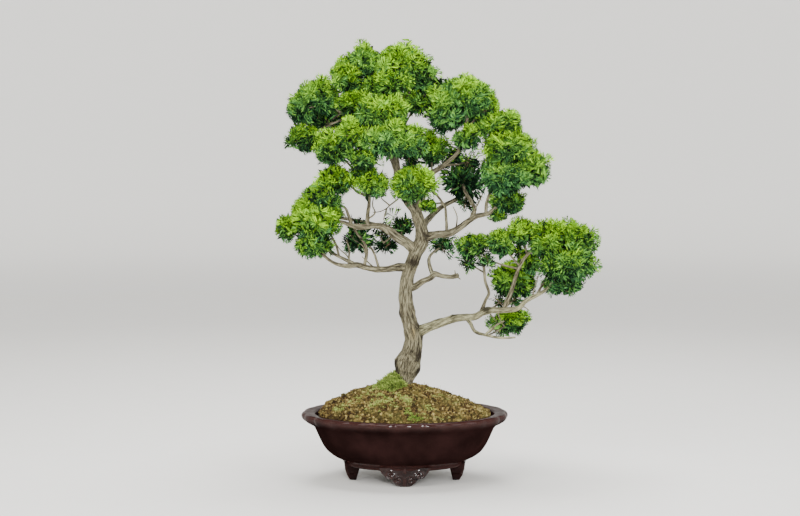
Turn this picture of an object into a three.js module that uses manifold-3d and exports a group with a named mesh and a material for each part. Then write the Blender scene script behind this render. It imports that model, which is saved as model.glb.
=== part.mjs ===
// A hinoki cypress bonsai in an oval glazed pot, in millimetres, +Z up.
// Places are measured from the middle of the pot's footprint, FOOT_DROP over the surface the pot
// stands on; +X is to the right of the tree's front and +Y goes to its back. The last group moves
// the origin to the middle of the whole object's footprint box, on that surface.
import * as THREE from "three";
import { mergeVertices } from "three/addons/utils/BufferGeometryUtils.js";
import Module from "manifold-3d";

const wasm = await Module();
wasm.setup();

// ---- Driving dimensions ----

const GAP = 0.3; // clearance between pieces that touch
const GRID = 0.005; // all finished surfaces have their points on this grid

// Pot: half-widths are across the front, half-depths follow from one ratio
const POT_DEPTH_RATIO = 0.765;
const POT_LOBES = 24;
const POINTS_PER_LOBE = 3;
const UNDERSIDE_HEIGHT = 15;
const FLOOR_TOP = 24;
const RIM_TOP = 79;
const RIM_HALF_WIDTH = 126;
const FLANGE_HALF_WIDTH = 108; // inner edge of the rim's sloping flange
const FLANGE_HEIGHT = 75.5;

// Outside of the pot: [half-width, height, depth of the creases between lobes], up to the flange
const POT_OUTSIDE = [
  [73.5, UNDERSIDE_HEIGHT, 0.4],
  [79, 22, 0.6],
  [89, 28, 0.7],
  [97.5, 36, 0.8],
  [106, 51, 0.8],
  [111, 62.5, 0.9],
  [122, 68.5, 1.4],
  [RIM_HALF_WIDTH, 74, 1.6],
  [122.5, RIM_TOP, 1.2],
  [FLANGE_HALF_WIDTH, FLANGE_HEIGHT, 0],
];
// Inside of the pot: [half-width, height]
const POT_INSIDE = [
  [73, FLOOR_TOP],
  [89, 35],
  [99, 49],
  [FLANGE_HALF_WIDTH - 1, FLANGE_HEIGHT],
];
const POT_OPENING = [FLANGE_HALF_WIDTH, RIM_TOP + 5]; // the hollow runs on, clear of the rim
const INSIDE_POINTS = 36;

// Bracket feet: half of the ogee outline, [half-width, height], from the flat underside up
const FOOT_DROP = 5;
const FOOT_OUTLINE = [
  [6.5, -FOOT_DROP],
  [14, 0.5],
  [17, 4.5],
  [24, 7.5],
  [28.5, 13],
  [31, UNDERSIDE_HEIGHT + 4],
];
const FOOT_THICKNESS = 14;
const END_FOOT_SHARE = 0.8; // the feet at the two ends are narrower by this share
const FOOT_INSET = 3; // from the edge of the pot's underside to the foot's face

const DRAIN_RADIUS = 10;
const DRAIN_SIDES = 12;
const DRAIN_OFFSET = 36; // from the middle of the pot, left and right
const SCREEN_SIZE = 34;
const SCREEN_THICKNESS = 1.2;
const SCREEN_OPENING = 5;
const SCREEN_PITCH = 8;
const SCREEN_OPENINGS = 3; // along each side

// Soil: a mound, highest where the trunk comes out of it
const SOIL_EDGE_HEIGHT = 74;
const SOIL_EDGE = [FLANGE_HALF_WIDTH - 2, SOIL_EDGE_HEIGHT];
const MOUND_HEIGHT = 115;
const MOUND_AT = [-1, 6];
const MOUND_RINGS = [0.84, 0.64, 0.42, 0.2]; // shares of the way from the top to the wall
const MOUND_CROWN = 0.4; // share of the rise that rounds off the top
const SOIL_ROUGHNESS = 1.6;

const BARK_WAVER = 0.06; // how far the wood's radius strays, as a share of it

// Branches: [x, y, z, radius] along the middle of the wood, each starting inside its parent.
// sides is the number of faces round the section.
const BRANCHES = {
  trunk: {
    sides: 12,
    route: [
      [-4, 6, 52, 12],
      [-2, 5, 100, 10],
      [0, 5, 115, 10.8],
      [4, 4, 136, 14.6],
      [9, 2, 154, 11.4],
      [11, 0, 170, 10.6],
      [6, -3, 189, 9.6],
      [2, -4, 207, 8.9],
      [1, -3, 223, 8.3],
      [3, 0, 239, 7.9],
      [7, 3, 255, 8],
      [14, 6, 273, 8.5],
      [21, 7, 288, 8.8],
      [20, 6, 301, 7.7],
      [14, 5, 322, 6.3],
    ],
  },
  leader: {
    sides: 7,
    route: [
      [16, 5, 312, 6.2],
      [14, 5, 322, 6.2],
      [-1, 8, 344, 5.2],
      [-9, 10, 370, 4.4],
      [-11, 8, 397, 3.6],
      [-7, 4, 433, 2.8],
      [-4, 2, 467, 2],
      [-4, 0, 495, 1.2],
    ],
  },
  left_crown: {
    sides: 4,
    route: [
      [-11, 8, 397, 3],
      [-35, 6, 415, 2.5],
      [-66, 6, 436, 2],
      [-88, 8, 450, 1.5],
      [-102, 9, 458, 1],
    ],
  },
  front_limb: {
    sides: 4,
    route: [
      [-9, 10, 372, 3],
      [-10, -8, 388, 2.5],
      [-12, -30, 400, 2],
      [-14, -50, 408, 1.5],
      [-16, -64, 412, 1],
    ],
  },
  back_crown: {
    sides: 5,
    route: [
      [-9, 10, 368, 3.4],
      [-15, 38, 384, 3],
      [-28, 60, 406, 2.4],
      [-45, 70, 426, 1.8],
      [-72, 70, 440, 1.4],
      [-97, 66, 445, 1],
    ],
  },
  right_leader: {
    sides: 7,
    route: [
      [15, 4, 322, 5.4],
      [23, 6, 349, 4.4],
      [32, 4, 368, 3.8],
      [47, 0, 379, 3.3],
      [64, -4, 395, 2.8],
      [73, -6, 422, 2.2],
      [75, -5, 458, 1.3],
    ],
  },
  low_right: {
    sides: 7,
    route: [
      [9, 0, 173, 6.6],
      [19, -1, 178, 6.2],
      [43, -5, 188, 5.4],
      [64, -8, 194, 4.6],
      [85, -10, 196, 4],
      [98, -12, 203, 4],
      [137, -16, 207, 3],
      [146, -17, 216, 2.7],
      [171, -14, 230, 2.1],
      [190, -12, 255, 1.3],
    ],
  },
  low_right_twig: {
    sides: 5,
    route: [
      [74, -9, 195, 2.4],
      [79, -12, 189, 2.2],
      [85, -16, 179, 2],
      [98, -20, 175, 1.7],
      [117, -24, 172, 1.3],
      [133, -28, 173, 0.9],
    ],
  },
  low_right_fork: {
    sides: 4,
    route: [
      [97, -20, 175, 1.5],
      [110, -22, 187, 1.2],
      [120, -20, 192, 0.9],
    ],
  },
  far_stem_a: {
    sides: 5,
    route: [
      [92, -11, 201, 2.2],
      [98, -8, 216, 1.8],
      [102, -4, 224, 1.7],
      [98, 2, 238, 1.6],
      [95, 8, 259, 1.5],
      [84, 10, 275, 1.1],
    ],
  },
  far_stem_b: {
    sides: 5,
    route: [
      [120, -14, 206, 2.8],
      [129, -10, 227, 2.5],
      [135, -8, 247, 2.3],
      [141, -8, 261, 2.1],
      [149, -8, 272, 1.7],
      [168, -9, 284, 1.2],
    ],
  },
  left_low: {
    sides: 6,
    route: [
      [6, 3, 255, 5],
      [-6, 1, 255, 4.2],
      [-30, -6, 253, 3.6],
      [-47, -10, 256, 3.5],
      [-58, -12, 259, 3.3],
      [-68, -14, 258, 2.8],
      [-87, -17, 263, 2.1],
      [-100, -18, 275, 1.6],
      [-107, -20, 292, 1.1],
    ],
  },
  left_low_b: {
    sides: 4,
    route: [
      [-58, -12, 259, 2.4],
      [-77, -10, 268, 1.9],
      [-90, -8, 275, 1.6],
      [-104, -9, 286, 1.1],
    ],
  },
  left_twig_a: {
    sides: 4,
    route: [
      [-49, -10, 257, 1.9],
      [-46, -6, 274, 1.7],
      [-48, -2, 283, 1.5],
      [-57, 4, 295, 1.3],
      [-64, 8, 305, 1],
    ],
  },
  left_twig_b: {
    sides: 4,
    route: [
      [-31, -6, 254, 1.5],
      [-37, 2, 272, 1.3],
      [-44, 10, 281, 1.1],
      [-54, 14, 286, 0.9],
    ],
  },
  left_twig_c: {
    sides: 4,
    route: [
      [-68, -13, 259, 1.3],
      [-67, -10, 277, 1.1],
      [-70, -4, 289, 0.9],
    ],
  },
  left_twig_d: {
    sides: 4,
    route: [
      [-79, -10, 269, 1.5],
      [-83, -14, 284, 1.3],
      [-90, -16, 299, 1.2],
      [-92, -16, 323, 1],
    ],
  },
  left_high: {
    sides: 7,
    route: [
      [13, 6, 273, 7],
      [6, 6, 281, 5.8],
      [-12, 8, 293, 5.2],
      [-21, 9, 301, 4.8],
      [-31, 8, 305, 4],
      [-59, 0, 305, 3.2],
      [-77, -6, 311, 2],
      [-98, -14, 312, 1.3],
    ],
  },
  left_high_twig: {
    sides: 4,
    route: [
      [-65, -2, 308, 2],
      [-68, -4, 319, 1.8],
      [-72, -6, 328, 1.6],
      [-80, -9, 332, 1.4],
      [-95, -13, 340, 1],
    ],
  },
  left_up: {
    sides: 5,
    route: [
      [-44, 4, 304, 2.6],
      [-45, 2, 314, 2.4],
      [-43, -4, 340, 2],
      [-47, -12, 352, 1.8],
      [-53, -24, 363, 1.6],
      [-65, -38, 380, 1.3],
      [-78, -49, 394, 1],
    ],
  },
  left_up_twig: {
    sides: 4,
    route: [
      [-44, -4, 342, 1.4],
      [-57, -6, 347, 1.3],
      [-66, -8, 355, 1.1],
      [-77, -10, 360, 0.9],
    ],
  },
  right_mid: {
    sides: 7,
    route: [
      [20, 7, 290, 6.4],
      [40, 2, 295, 4.6],
      [54, -2, 297, 4.2],
      [64, -4, 302, 3.8],
      [75, -5, 310, 3.4],
      [85, -6, 317, 3],
      [104, -8, 323, 2.3],
      [115, -10, 338, 1.9],
      [120, -20, 361, 1.3],
    ],
  },
  right_mid_fork: {
    sides: 4,
    route: [
      [80, -5, 314, 2.8],
      [85, 0, 326, 2.5],
      [82, 6, 332, 2.3],
      [74, 22, 346, 1.9],
      [71, 43, 356, 1.3],
    ],
  },
  right_mid_twig: {
    sides: 4,
    route: [
      [51, -1, 297, 1.8],
      [50, -4, 317, 1.6],
      [49, -6, 328, 1.5],
      [43, -12, 338, 1.4],
      [34, -26, 348, 1.2],
      [14, -48, 356, 0.9],
    ],
  },
  right_up_twig: {
    sides: 5,
    route: [
      [98, -7, 321, 2],
      [99, -8, 334, 1.9],
      [107, -12, 355, 1.7],
      [117, -18, 374, 1.5],
      [120, -20, 396, 1.1],
    ],
  },
  stub: {
    sides: 6,
    route: [
      [4, -1, 231, 5],
      [12, -3, 232, 4.2],
      [22, -8, 239, 3.6],
      [32, -12, 244, 3.4],
      [36, -14, 248, 3.6],
      [46, -18, 246, 2.7],
      [56, -22, 246, 2.6],
      [64, -25, 248, 3],
    ],
  },
  stub_twig: {
    sides: 4,
    route: [
      [34, -13, 247, 2.4],
      [30, -6, 258, 2.2],
      [30, 8, 267, 1.8],
      [38, 22, 274, 1.5],
      [45, 33, 277, 1],
    ],
  },
  back_left: {
    sides: 5,
    route: [
      [15, 8, 277, 5.2],
      [0, 26, 287, 4],
      [-18, 44, 298, 3.2],
      [-50, 50, 307, 2.4],
      [-80, 53, 312, 1.8],
      [-106, 55, 316, 1.2],
    ],
  },
  back_right: {
    sides: 5,
    route: [
      [19, 8, 298, 5],
      [29, 28, 312, 3.8],
      [46, 46, 326, 3],
      [71, 56, 339, 2.4],
      [100, 57, 358, 1.8],
      [124, 58, 375, 1.2],
    ],
  },
};

// Clumps of foliage: at is the middle, across and up are the reach of the spray tips. from is the
// branch, and the place along it from 0 to 1, that a twig feeds the clump from; a clump at 1 sits
// on the branch's own end and has no twig.
const LIGHT = "#5f9a2e";
const MIDDLE = "#47802a";
const SHADE = "#2c5522";
const CLUMPS = {
  top_a: { at: [-4, 0, 502], across: 25, up: 22, from: ["leader", 1], tint: LIGHT },
  top_b: { at: [16, 5, 489], across: 21, up: 22, from: ["leader", 0.76], tint: LIGHT },
  top_c: { at: [-48, 5, 501], across: 23, up: 22, from: ["leader", 0.72], tint: LIGHT },
  top_d: { at: [-67, 0, 485], across: 22, up: 21, from: ["left_crown", 0.3], tint: LIGHT },
  top_e: { at: [-22, -15, 479], across: 24, up: 19, from: ["leader", 0.74], tint: LIGHT },
  crown_back: { at: [15, 20, 457], across: 23, up: 17, from: ["leader", 0.62], tint: MIDDLE },
  left_a: { at: [-106, 10, 461], across: 24, up: 21, from: ["left_crown", 1], tint: LIGHT },
  left_b: { at: [-125, 0, 446], across: 17, up: 19, from: ["left_crown", 0.75], tint: MIDDLE },
  left_c: { at: [-120, 10, 412], across: 19, up: 18, from: ["left_crown", 0.5], tint: MIDDLE },
  left_d: { at: [-63, -20, 453], across: 18, up: 17, from: ["left_crown", 0.35], tint: MIDDLE },
  front_a: { at: [-24, -60, 444], across: 28, up: 20, from: ["front_limb", 0.6], tint: LIGHT },
  front_b: { at: [-16, -70, 412], across: 31, up: 23, from: ["front_limb", 1], tint: LIGHT },
  front_c: { at: [-62, -60, 416], across: 20, up: 19, from: ["front_limb", 0.5], tint: LIGHT },
  front_d: { at: [-85, -52, 399], across: 21, up: 19, from: ["left_up", 1], tint: MIDDLE },
  front_e: { at: [-50, -68, 392], across: 21, up: 15, from: ["front_limb", 0.65], tint: MIDDLE },
  right_a: { at: [75, -5, 466], across: 29, up: 25, from: ["right_leader", 1], tint: LIGHT },
  right_b: { at: [52, -10, 443], across: 23, up: 24, from: ["right_leader", 0.74], tint: MIDDLE },
  right_c: { at: [97, 0, 447], across: 17, up: 18, from: ["right_leader", 0.84], tint: LIGHT },
  right_d: { at: [113, -10, 429], across: 24, up: 17, from: ["right_leader", 0.76], tint: LIGHT },
  right_e: { at: [120, -20, 402], across: 26, up: 22, from: ["right_up_twig", 1], tint: LIGHT },
  right_f: { at: [148, -10, 374], across: 24, up: 23, from: ["right_mid", 0.88], tint: LIGHT },
  right_g: { at: [119, -25, 367], across: 24, up: 22, from: ["right_mid", 1], tint: MIDDLE },
  right_h: { at: [125, -5, 337], across: 21, up: 17, from: ["right_mid", 0.8], tint: MIDDLE },
  mid_a: { at: [33, 10, 397], across: 19, up: 21, from: ["right_leader", 0.34], tint: MIDDLE },
  mid_b: { at: [58, 28, 388], across: 16, up: 16, from: ["right_leader", 0.5], tint: SHADE },
  hang: { at: [71, 50, 359], across: 25, up: 27, from: ["right_mid_fork", 1], tint: SHADE },
  low_a: { at: [-37, -44, 358], across: 18, up: 17, from: ["left_up", 0.5], tint: MIDDLE },
  low_b: { at: [9, -54, 358], across: 24, up: 20, from: ["right_mid_twig", 1], tint: LIGHT },
  left_e: { at: [-84, -10, 362], across: 21, up: 17, from: ["left_up_twig", 1], tint: LIGHT },
  left_f: { at: [-101, -15, 343], across: 20, up: 17, from: ["left_high_twig", 1], tint: LIGHT },
  left_g: { at: [-108, -20, 314], across: 26, up: 23, from: ["left_high", 1], tint: LIGHT },
  left_h: { at: [-140, -10, 304], across: 18, up: 16, from: ["left_high", 0.95], tint: LIGHT },
  left_i: { at: [-110, -15, 285], across: 23, up: 17, from: ["left_low_b", 1], tint: MIDDLE },
  inner_a: { at: [-58, 15, 287], across: 21, up: 12, from: ["left_twig_b", 1], tint: SHADE },
  inner_b: { at: [-23, 50, 281], across: 15, up: 15, from: ["back_left", 0.35], tint: SHADE },
  inner_c: { at: [-3, 45, 302], across: 14, up: 16, from: ["back_left", 0.25], tint: SHADE },
  inner_d: { at: [46, 35, 282], across: 15, up: 13, from: ["stub_twig", 1], tint: SHADE },
  far_a: { at: [82, 10, 280], across: 18, up: 17, from: ["far_stem_a", 1], tint: MIDDLE },
  far_b: { at: [116, -15, 286], across: 19, up: 17, from: ["far_stem_b", 0.55], tint: MIDDLE },
  far_c: { at: [143, -5, 297], across: 18, up: 17, from: ["far_stem_b", 0.78], tint: LIGHT },
  far_d: { at: [173, -10, 290], across: 22, up: 20, from: ["far_stem_b", 1], tint: LIGHT },
  far_e: { at: [203, 0, 288], across: 25, up: 21, from: ["low_right", 0.93], tint: LIGHT },
  far_f: { at: [195, -15, 261], across: 29, up: 20, from: ["low_right", 1], tint: MIDDLE },
  far_g: { at: [191, 0, 237], across: 23, up: 13, from: ["low_right", 0.88], tint: MIDDLE },
  under_a: { at: [134, 32, 236], across: 27, up: 21, from: ["low_right", 0.62], tint: SHADE },
  under_b: { at: [129, 25, 186], across: 20, up: 16, from: ["low_right_twig", 0.62], tint: SHADE },
  back_a: { at: [-20, 56, 489], across: 27, up: 21, from: ["leader", 0.68], tint: LIGHT },
  back_b: { at: [-102, 66, 445], across: 25, up: 21, from: ["back_crown", 1], tint: LIGHT },
  back_c: { at: [-48, 74, 430], across: 30, up: 24, from: ["back_crown", 0.66], tint: MIDDLE },
  back_d: { at: [81, 68, 450], across: 27, up: 25, from: ["right_leader", 0.72], tint: LIGHT },
  back_e: { at: [128, 58, 378], across: 27, up: 25, from: ["back_right", 1], tint: LIGHT },
  back_f: { at: [-110, 56, 317], across: 26, up: 22, from: ["back_left", 1], tint: MIDDLE },
  back_g: { at: [190, 50, 274], across: 27, up: 21, from: ["low_right", 0.84], tint: LIGHT },
  back_h: { at: [-3, 98, 403], across: 26, up: 21, from: ["back_crown", 0.4], tint: MIDDLE },
  back_i: { at: [4, 80, 358], across: 21, up: 16, from: ["back_crown", 0.12], tint: SHADE },
};

// How a clump is made, as shares of its reach
const FULLNESS = 1.18; // all reaches below grow by this
const CORE_REACH = 0.71;
const CORE_WAVER = 0.03;
const FAN_SADDLE = 0.48; // where a fan's two faces swell out, from the clump's middle
const FAN_TIPS = 5;
const FAN_HALF_ANGLE = THREE.MathUtils.degToRad(43);
const TIP_REACH = 1.22;
const NOTCH_REACH = 0.92; // the cuts between tips
const FAN_LEAN = 0.25; // how far a fan may lean to one side
const FAN_ARCH = 0.1; // and how far its outer tips bend back
const FAN_THICKNESS = 9; // in mm, at the saddle
const TIP_WAVER = 0.1; // how much shorter a tip may be
const TURN_WAVER = 0.05; // how far tips stray along the fan
const LEAN_WAVER = 0.04; // and out of it
const CLUMP_SEED = 300;
const CLUMP_TILT = 0.35; // most that a clump leans, in radians
const TWIG_CONE = 0.6; // cosine of the angle round the feeding twig that has no fan
const TWIG_END = 0.3; // how near the middle a feeding twig stops
const TWIG_SIDES = 4;
const TWIG_TIP_RADIUS = 0.9;
const TWIG_SHARE = 0.8; // a twig is thinner than its branch by this share
const TWIG_TAPER = 0.011; // how much thicker each millimetre of twig makes its foot
const TWIG_BEND = 0.55; // place along a twig that its bend is at
const TWIG_LIFT = 0.1; // how far the bend of a twig that hangs rises, as a share of its length
const TWIG_SAG = 0.06; // and how far that of a climbing one sinks
const TWIG_LONG = 45; // a longer twig is made of three straight lengths, not two
const TWIG_SEEN = 0.85; // place on a branch that a clump at its end looks back to
const HOLE_SIDES = 4; // the plain hole that lets a branch through a clump
const HOLE_MARGIN = 0.05; // its further clearance, also past the branch's ends

// ---- Solids ----

const { seededRandom } = THREE.MathUtils;

// A value between -1 and 1 from the running seeded series
const jitter = () => seededRandom() * 2 - 1;

// The closed geometry's solid, ready to be joined or cut
function toSolid(geometry) {
  const bare = geometry.clone();
  bare.deleteAttribute("normal");
  bare.deleteAttribute("uv");
  const merged = mergeVertices(bare, 1e-4);
  return new wasm.Manifold(
    new wasm.Mesh({
      numProp: 3,
      vertProperties: new Float32Array(merged.attributes.position.array),
      triVerts: new Uint32Array(merged.index.array),
    }),
  );
}

// The solid's surface, its points moved to the nearest place on a fine grid, so that no two are
// nearly the same
function toGeometry(solid) {
  const { vertProperties, triVerts } = solid.getMesh();
  const snapped = vertProperties.map((value) => Math.round(value / GRID) * GRID);
  const geometry = new THREE.BufferGeometry();
  geometry.setAttribute("position", new THREE.BufferAttribute(snapped, 3));
  geometry.setIndex(new THREE.BufferAttribute(triVerts, 1));
  return geometry;
}

// The largest body of a cut solid: a tip cut off from the rest is dropped
function largestBody(solid) {
  const bodies = toSolid(toGeometry(solid)).decompose();
  bodies.sort((a, b) => b.volume() - a.volume());
  return bodies[0];
}

// A named mesh of the solid, with flat shading
function toMesh(name, solid, look) {
  const geometry = toGeometry(largestBody(solid));
  geometry.computeVertexNormals();
  const material = new THREE.MeshStandardMaterial({ ...look, flatShading: true });
  const mesh = new THREE.Mesh(geometry, material);
  mesh.name = name;
  return mesh;
}

// A closed solid through rings of equal point count, each end closed on its middle point.
// The rings turn anticlockwise seen from the far end.
function loft(rings) {
  const sides = rings[0].length;
  const middle = (ring) =>
    ring.reduce((sum, p) => sum.add(p), new THREE.Vector3()).divideScalar(sides);
  const points = [...rings.flat(), middle(rings[0]), middle(rings.at(-1))];
  const firstMiddle = points.length - 2;
  const lastMiddle = points.length - 1;
  const lastRing = (rings.length - 1) * sides;
  const faces = [];
  for (let i = 0; i < sides; i++) {
    const next = (i + 1) % sides;
    faces.push(firstMiddle, next, i);
    faces.push(lastMiddle, lastRing + i, lastRing + next);
    for (let base = 0; base < lastRing; base += sides) {
      const above = base + sides;
      faces.push(base + i, base + next, above + next);
      faces.push(base + i, above + next, above + i);
    }
  }
  const geometry = new THREE.BufferGeometry().setFromPoints(points);
  geometry.setIndex(faces);
  return toSolid(geometry);
}

// ---- Wood ----

const routeCurve = (route) =>
  new THREE.CatmullRomCurve3(route.map(([x, y, z]) => new THREE.Vector3(x, y, z)));

// Rings round a route, each turned as little as possible from the one before. grow widens the
// wood all round, and its two ends with it. The radius wavers a little, like bark.
function woodRings(route, sides, grow, waver) {
  seededRandom(1 + route.length * sides);
  const centres = route.map(([x, y, z]) => new THREE.Vector3(x, y, z));
  const across = new THREE.Vector3(0, 1, 0);
  return centres.map((centre, k) => {
    const before = centres[Math.max(k - 1, 0)];
    const after = centres[Math.min(k + 1, centres.length - 1)];
    const along = after.clone().sub(before).normalize();
    across.addScaledVector(along, -across.dot(along)).normalize();
    const side = along.clone().cross(across);
    const middle = centre.clone();
    if (k === 0) middle.addScaledVector(along, -grow);
    if (k === centres.length - 1) middle.addScaledVector(along, grow);
    return Array.from({ length: sides }, (_, i) => {
      const angle = (2 * Math.PI * i) / sides;
      const radius = route[k][3] * (1 + waver * jitter()) + grow;
      return middle
        .clone()
        .addScaledVector(across, radius * Math.cos(angle))
        .addScaledVector(side, radius * Math.sin(angle));
    });
  });
}

// Clumps that sit away from their branch, each on a twig of its own
const TWIGGED = Object.values(CLUMPS).filter(({ from: [, place] }) => place < 1);

// The twig that feeds a clump: it leaves its branch, lifts, and ends inside the clump
function twigRoute({ at, across, from: [branch, place] }) {
  const { route } = BRANCHES[branch];
  const start = routeCurve(route).getPoint(place);
  const middle = new THREE.Vector3(...at);
  const reach = middle.distanceTo(start);
  const end = middle.clone().lerp(start, (TWIG_END * across) / reach);
  const bend = start.clone().lerp(end, TWIG_BEND);
  bend.z += (start.z < end.z ? -TWIG_SAG : TWIG_LIFT) * reach;
  const curve = new THREE.QuadraticBezierCurve3(start, bend, end);
  const parent = THREE.MathUtils.lerp(route[0][3], route.at(-1)[3], place);
  const thick = Math.min(parent * TWIG_SHARE, TWIG_TIP_RADIUS + TWIG_TAPER * reach);
  const steps = reach > TWIG_LONG ? 3 : 2;
  return curve.getPoints(steps).map((p, k) => {
    const radius = THREE.MathUtils.lerp(thick, TWIG_TIP_RADIUS, k / steps);
    return [p.x, p.y, p.z, radius];
  });
}

// All the wood as one solid
function makeWood() {
  const branches = Object.values(BRANCHES).map(({ route, sides }) =>
    loft(woodRings(route, sides, 0, BARK_WAVER)),
  );
  const twigs = TWIGGED.map((clump) => loft(woodRings(twigRoute(clump), TWIG_SIDES, 0, 0)));
  return wasm.Manifold.union([...branches, ...twigs]);
}

// The plain square holes round all the wood, just clear of it
function makeHoles() {
  const corner = 1 / Math.cos(Math.PI / HOLE_SIDES);
  const branches = Object.values(BRANCHES).map(({ route }) => route);
  const holes = [...branches, ...TWIGGED.map(twigRoute)].map((route) => {
    const wide = route.map(([x, y, z, r]) => [x, y, z, (r * (1 + BARK_WAVER) + GAP) * corner]);
    return loft(woodRings(wide, HOLE_SIDES, HOLE_MARGIN, 0));
  });
  return wasm.Manifold.union(holes);
}

// ---- Foliage ----

// The twelve corners of an icosahedron; each even corner and the next one share an edge, and the
// six edges lie crosswise on the six sides
function icosahedronCorners() {
  const golden = (1 + Math.sqrt(5)) / 2;
  const corners = [];
  for (let axis = 0; axis < 3; axis++) {
    for (const far of [golden, -golden]) {
      for (const near of [1, -1]) {
        const corner = new THREE.Vector3();
        corner.setComponent(axis, near);
        corner.setComponent((axis + 1) % 3, far);
        corners.push(corner.normalize());
      }
    }
  }
  return corners;
}

// Its twenty faces as corner numbers, anticlockwise from outside
function icosahedronFaces(corners) {
  const near = (i, j) => corners[i].distanceTo(corners[j]) < 1.2;
  const faces = [];
  for (let i = 0; i < corners.length; i++) {
    for (let j = i + 1; j < corners.length; j++) {
      for (let k = j + 1; k < corners.length; k++) {
        if (!near(i, j) || !near(j, k) || !near(i, k)) continue;
        const normal = corners[i].clone().cross(corners[j]);
        faces.push(normal.dot(corners[k]) > 0 ? [i, j, k] : [j, i, k]);
      }
    }
  }
  return faces;
}

const CORNERS = icosahedronCorners();
const FACES = icosahedronFaces(CORNERS);

// The cut edge of a fan that stands on the edge between two corners: tips with notches between
// them, bent a little to one side, in shares of the clump's reach
function fanEdge(first, last) {
  const outward = first.clone().add(last).normalize();
  const along = last.clone().sub(first).normalize();
  const sideways = outward.clone().cross(along);
  const lean = FAN_LEAN * jitter();
  const bend = FAN_ARCH * jitter();
  const steps = 2 * (FAN_TIPS - 1);
  return Array.from({ length: steps + 1 }, (_, k) => {
    const share = (2 * k) / steps - 1;
    const turn = FAN_HALF_ANGLE * (share + TURN_WAVER * jitter());
    const reach = k % 2 ? NOTCH_REACH : TIP_REACH - TIP_WAVER * seededRandom();
    const point = outward.clone().multiplyScalar(Math.cos(turn));
    point.addScaledVector(along, Math.sin(turn));
    point.addScaledVector(sideways, lean + bend * share * share + LEAN_WAVER * jitter());
    return point.setLength(reach);
  });
}

// One closed surface: a small lumpy core with a fan standing along each of six edges. keep tells
// whether there is room for the fan that points a given way.
function fanCluster(turned, thickness, keep) {
  const corners = CORNERS.map((corner) => corner.clone().applyEuler(turned));
  const points = corners.map((corner) =>
    corner.clone().multiplyScalar(CORE_REACH * (1 + CORE_WAVER * jitter())),
  );
  const fans = new Map();
  for (let i = 0; i < corners.length; i += 2) {
    const outward = corners[i].clone().add(corners[i + 1]).normalize();
    if (!keep(outward)) continue;
    const edge = fanEdge(corners[i], corners[i + 1]).map((point) => points.push(point) - 1);
    const along = corners[i + 1].clone().sub(corners[i]);
    const sideways = outward.clone().cross(along).normalize();
    fans.set(i, { edge, outward, sideways });
  }
  const faces = [];
  for (const face of FACES) {
    const start = [0, 1, 2].find((k) => {
      const [a, b] = [face[k], face[(k + 1) % 3]];
      return Math.abs(a - b) === 1 && fans.has(Math.min(a, b));
    });
    if (start === undefined) {
      faces.push(...face);
      continue;
    }
    const [a, b, c] = [face[start], face[(start + 1) % 3], face[(start + 2) % 3]];
    const { edge, outward, sideways } = fans.get(Math.min(a, b));
    const side = Math.sign(corners[c].dot(sideways));
    const saddle = outward.clone().multiplyScalar(FAN_SADDLE);
    saddle.addScaledVector(sideways, (side * thickness) / 2);
    const m = points.push(saddle) - 1;
    const rim = [a, ...(a < b ? edge : [...edge].reverse()), b];
    faces.push(a, m, c, m, b, c);
    for (let k = 1; k < rim.length; k++) faces.push(m, rim[k - 1], rim[k]);
  }
  const geometry = new THREE.BufferGeometry().setFromPoints(points);
  geometry.setIndex(faces);
  return geometry;
}

// Planes between a clump and each neighbour, midway by their reach, so that no two clumps touch
function boundaries(name) {
  const own = CLUMPS[name];
  const reachAlong = ({ across, up }, way) =>
    1 / Math.hypot(Math.hypot(way.x, way.y) / across, way.z / up);
  return Object.entries(CLUMPS)
    .filter(([other]) => other !== name)
    .map(([, clump]) => {
      const start = new THREE.Vector3(...own.at);
      const way = new THREE.Vector3(...clump.at).sub(start);
      const distance = way.length();
      way.normalize();
      const share = reachAlong(own, way) / (reachAlong(own, way) + reachAlong(clump, way));
      const reach = Math.max(own.across, own.up) + Math.max(clump.across, clump.up);
      const near = distance < FULLNESS * TIP_REACH * reach;
      return { near, way, limit: start.dot(way) + share * distance - GAP / 2 };
    })
    .filter(({ near }) => near);
}

// A clump in its own space between its neighbours, with plain holes where wood runs through
function makeClump(name, order, wood) {
  const { at, from } = CLUMPS[name];
  const across = FULLNESS * CLUMPS[name].across;
  const up = FULLNESS * CLUMPS[name].up;
  seededRandom(CLUMP_SEED + order);
  const middle = new THREE.Vector3(...at);
  const scale = new THREE.Vector3(across, across, up);
  const planes = boundaries(name);
  const [branch, place] = from;
  const twigWay = routeCurve(BRANCHES[branch].route).getPoint(Math.min(place, TWIG_SEEN));
  twigWay.sub(middle).normalize();
  const hasRoom = (way) => {
    const near = way.clone().multiply(scale).multiplyScalar(NOTCH_REACH).add(middle);
    const free = planes.every((plane) => plane.way.dot(near) < plane.limit);
    return free && way.dot(twigWay) < TWIG_CONE;
  };
  const turned = new THREE.Euler(CLUMP_TILT * jitter(), CLUMP_TILT * jitter(), Math.PI * jitter());
  const cluster = fanCluster(turned, FAN_THICKNESS / across, hasRoom);
  cluster.scale(across, across, up);
  cluster.translate(...at);
  let clump = toSolid(cluster);
  for (const { way, limit } of planes) {
    clump = clump.trimByPlane([-way.x, -way.y, -way.z], -limit);
  }
  return clump.subtract(wood);
}

// ---- Pot ----

// Points evenly spaced along an oval, pulled in at the creases between the lobes
function ovalRing(halfWidth, halfDepth, height, count, crease) {
  const fine = 1440;
  const outline = new THREE.EllipseCurve(0, 0, halfWidth, halfDepth);
  outline.arcLengthDivisions = fine;
  return Array.from({ length: count }, (_, k) => {
    const point = outline.getPointAt(k / count);
    const outward = new THREE.Vector2(point.x / halfWidth ** 2, point.y / halfDepth ** 2).normalize();
    const pull = (k + 1) % POINTS_PER_LOBE === 0 ? crease : 0;
    return new THREE.Vector3(point.x - pull * outward.x, point.y - pull * outward.y, height);
  });
}

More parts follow.
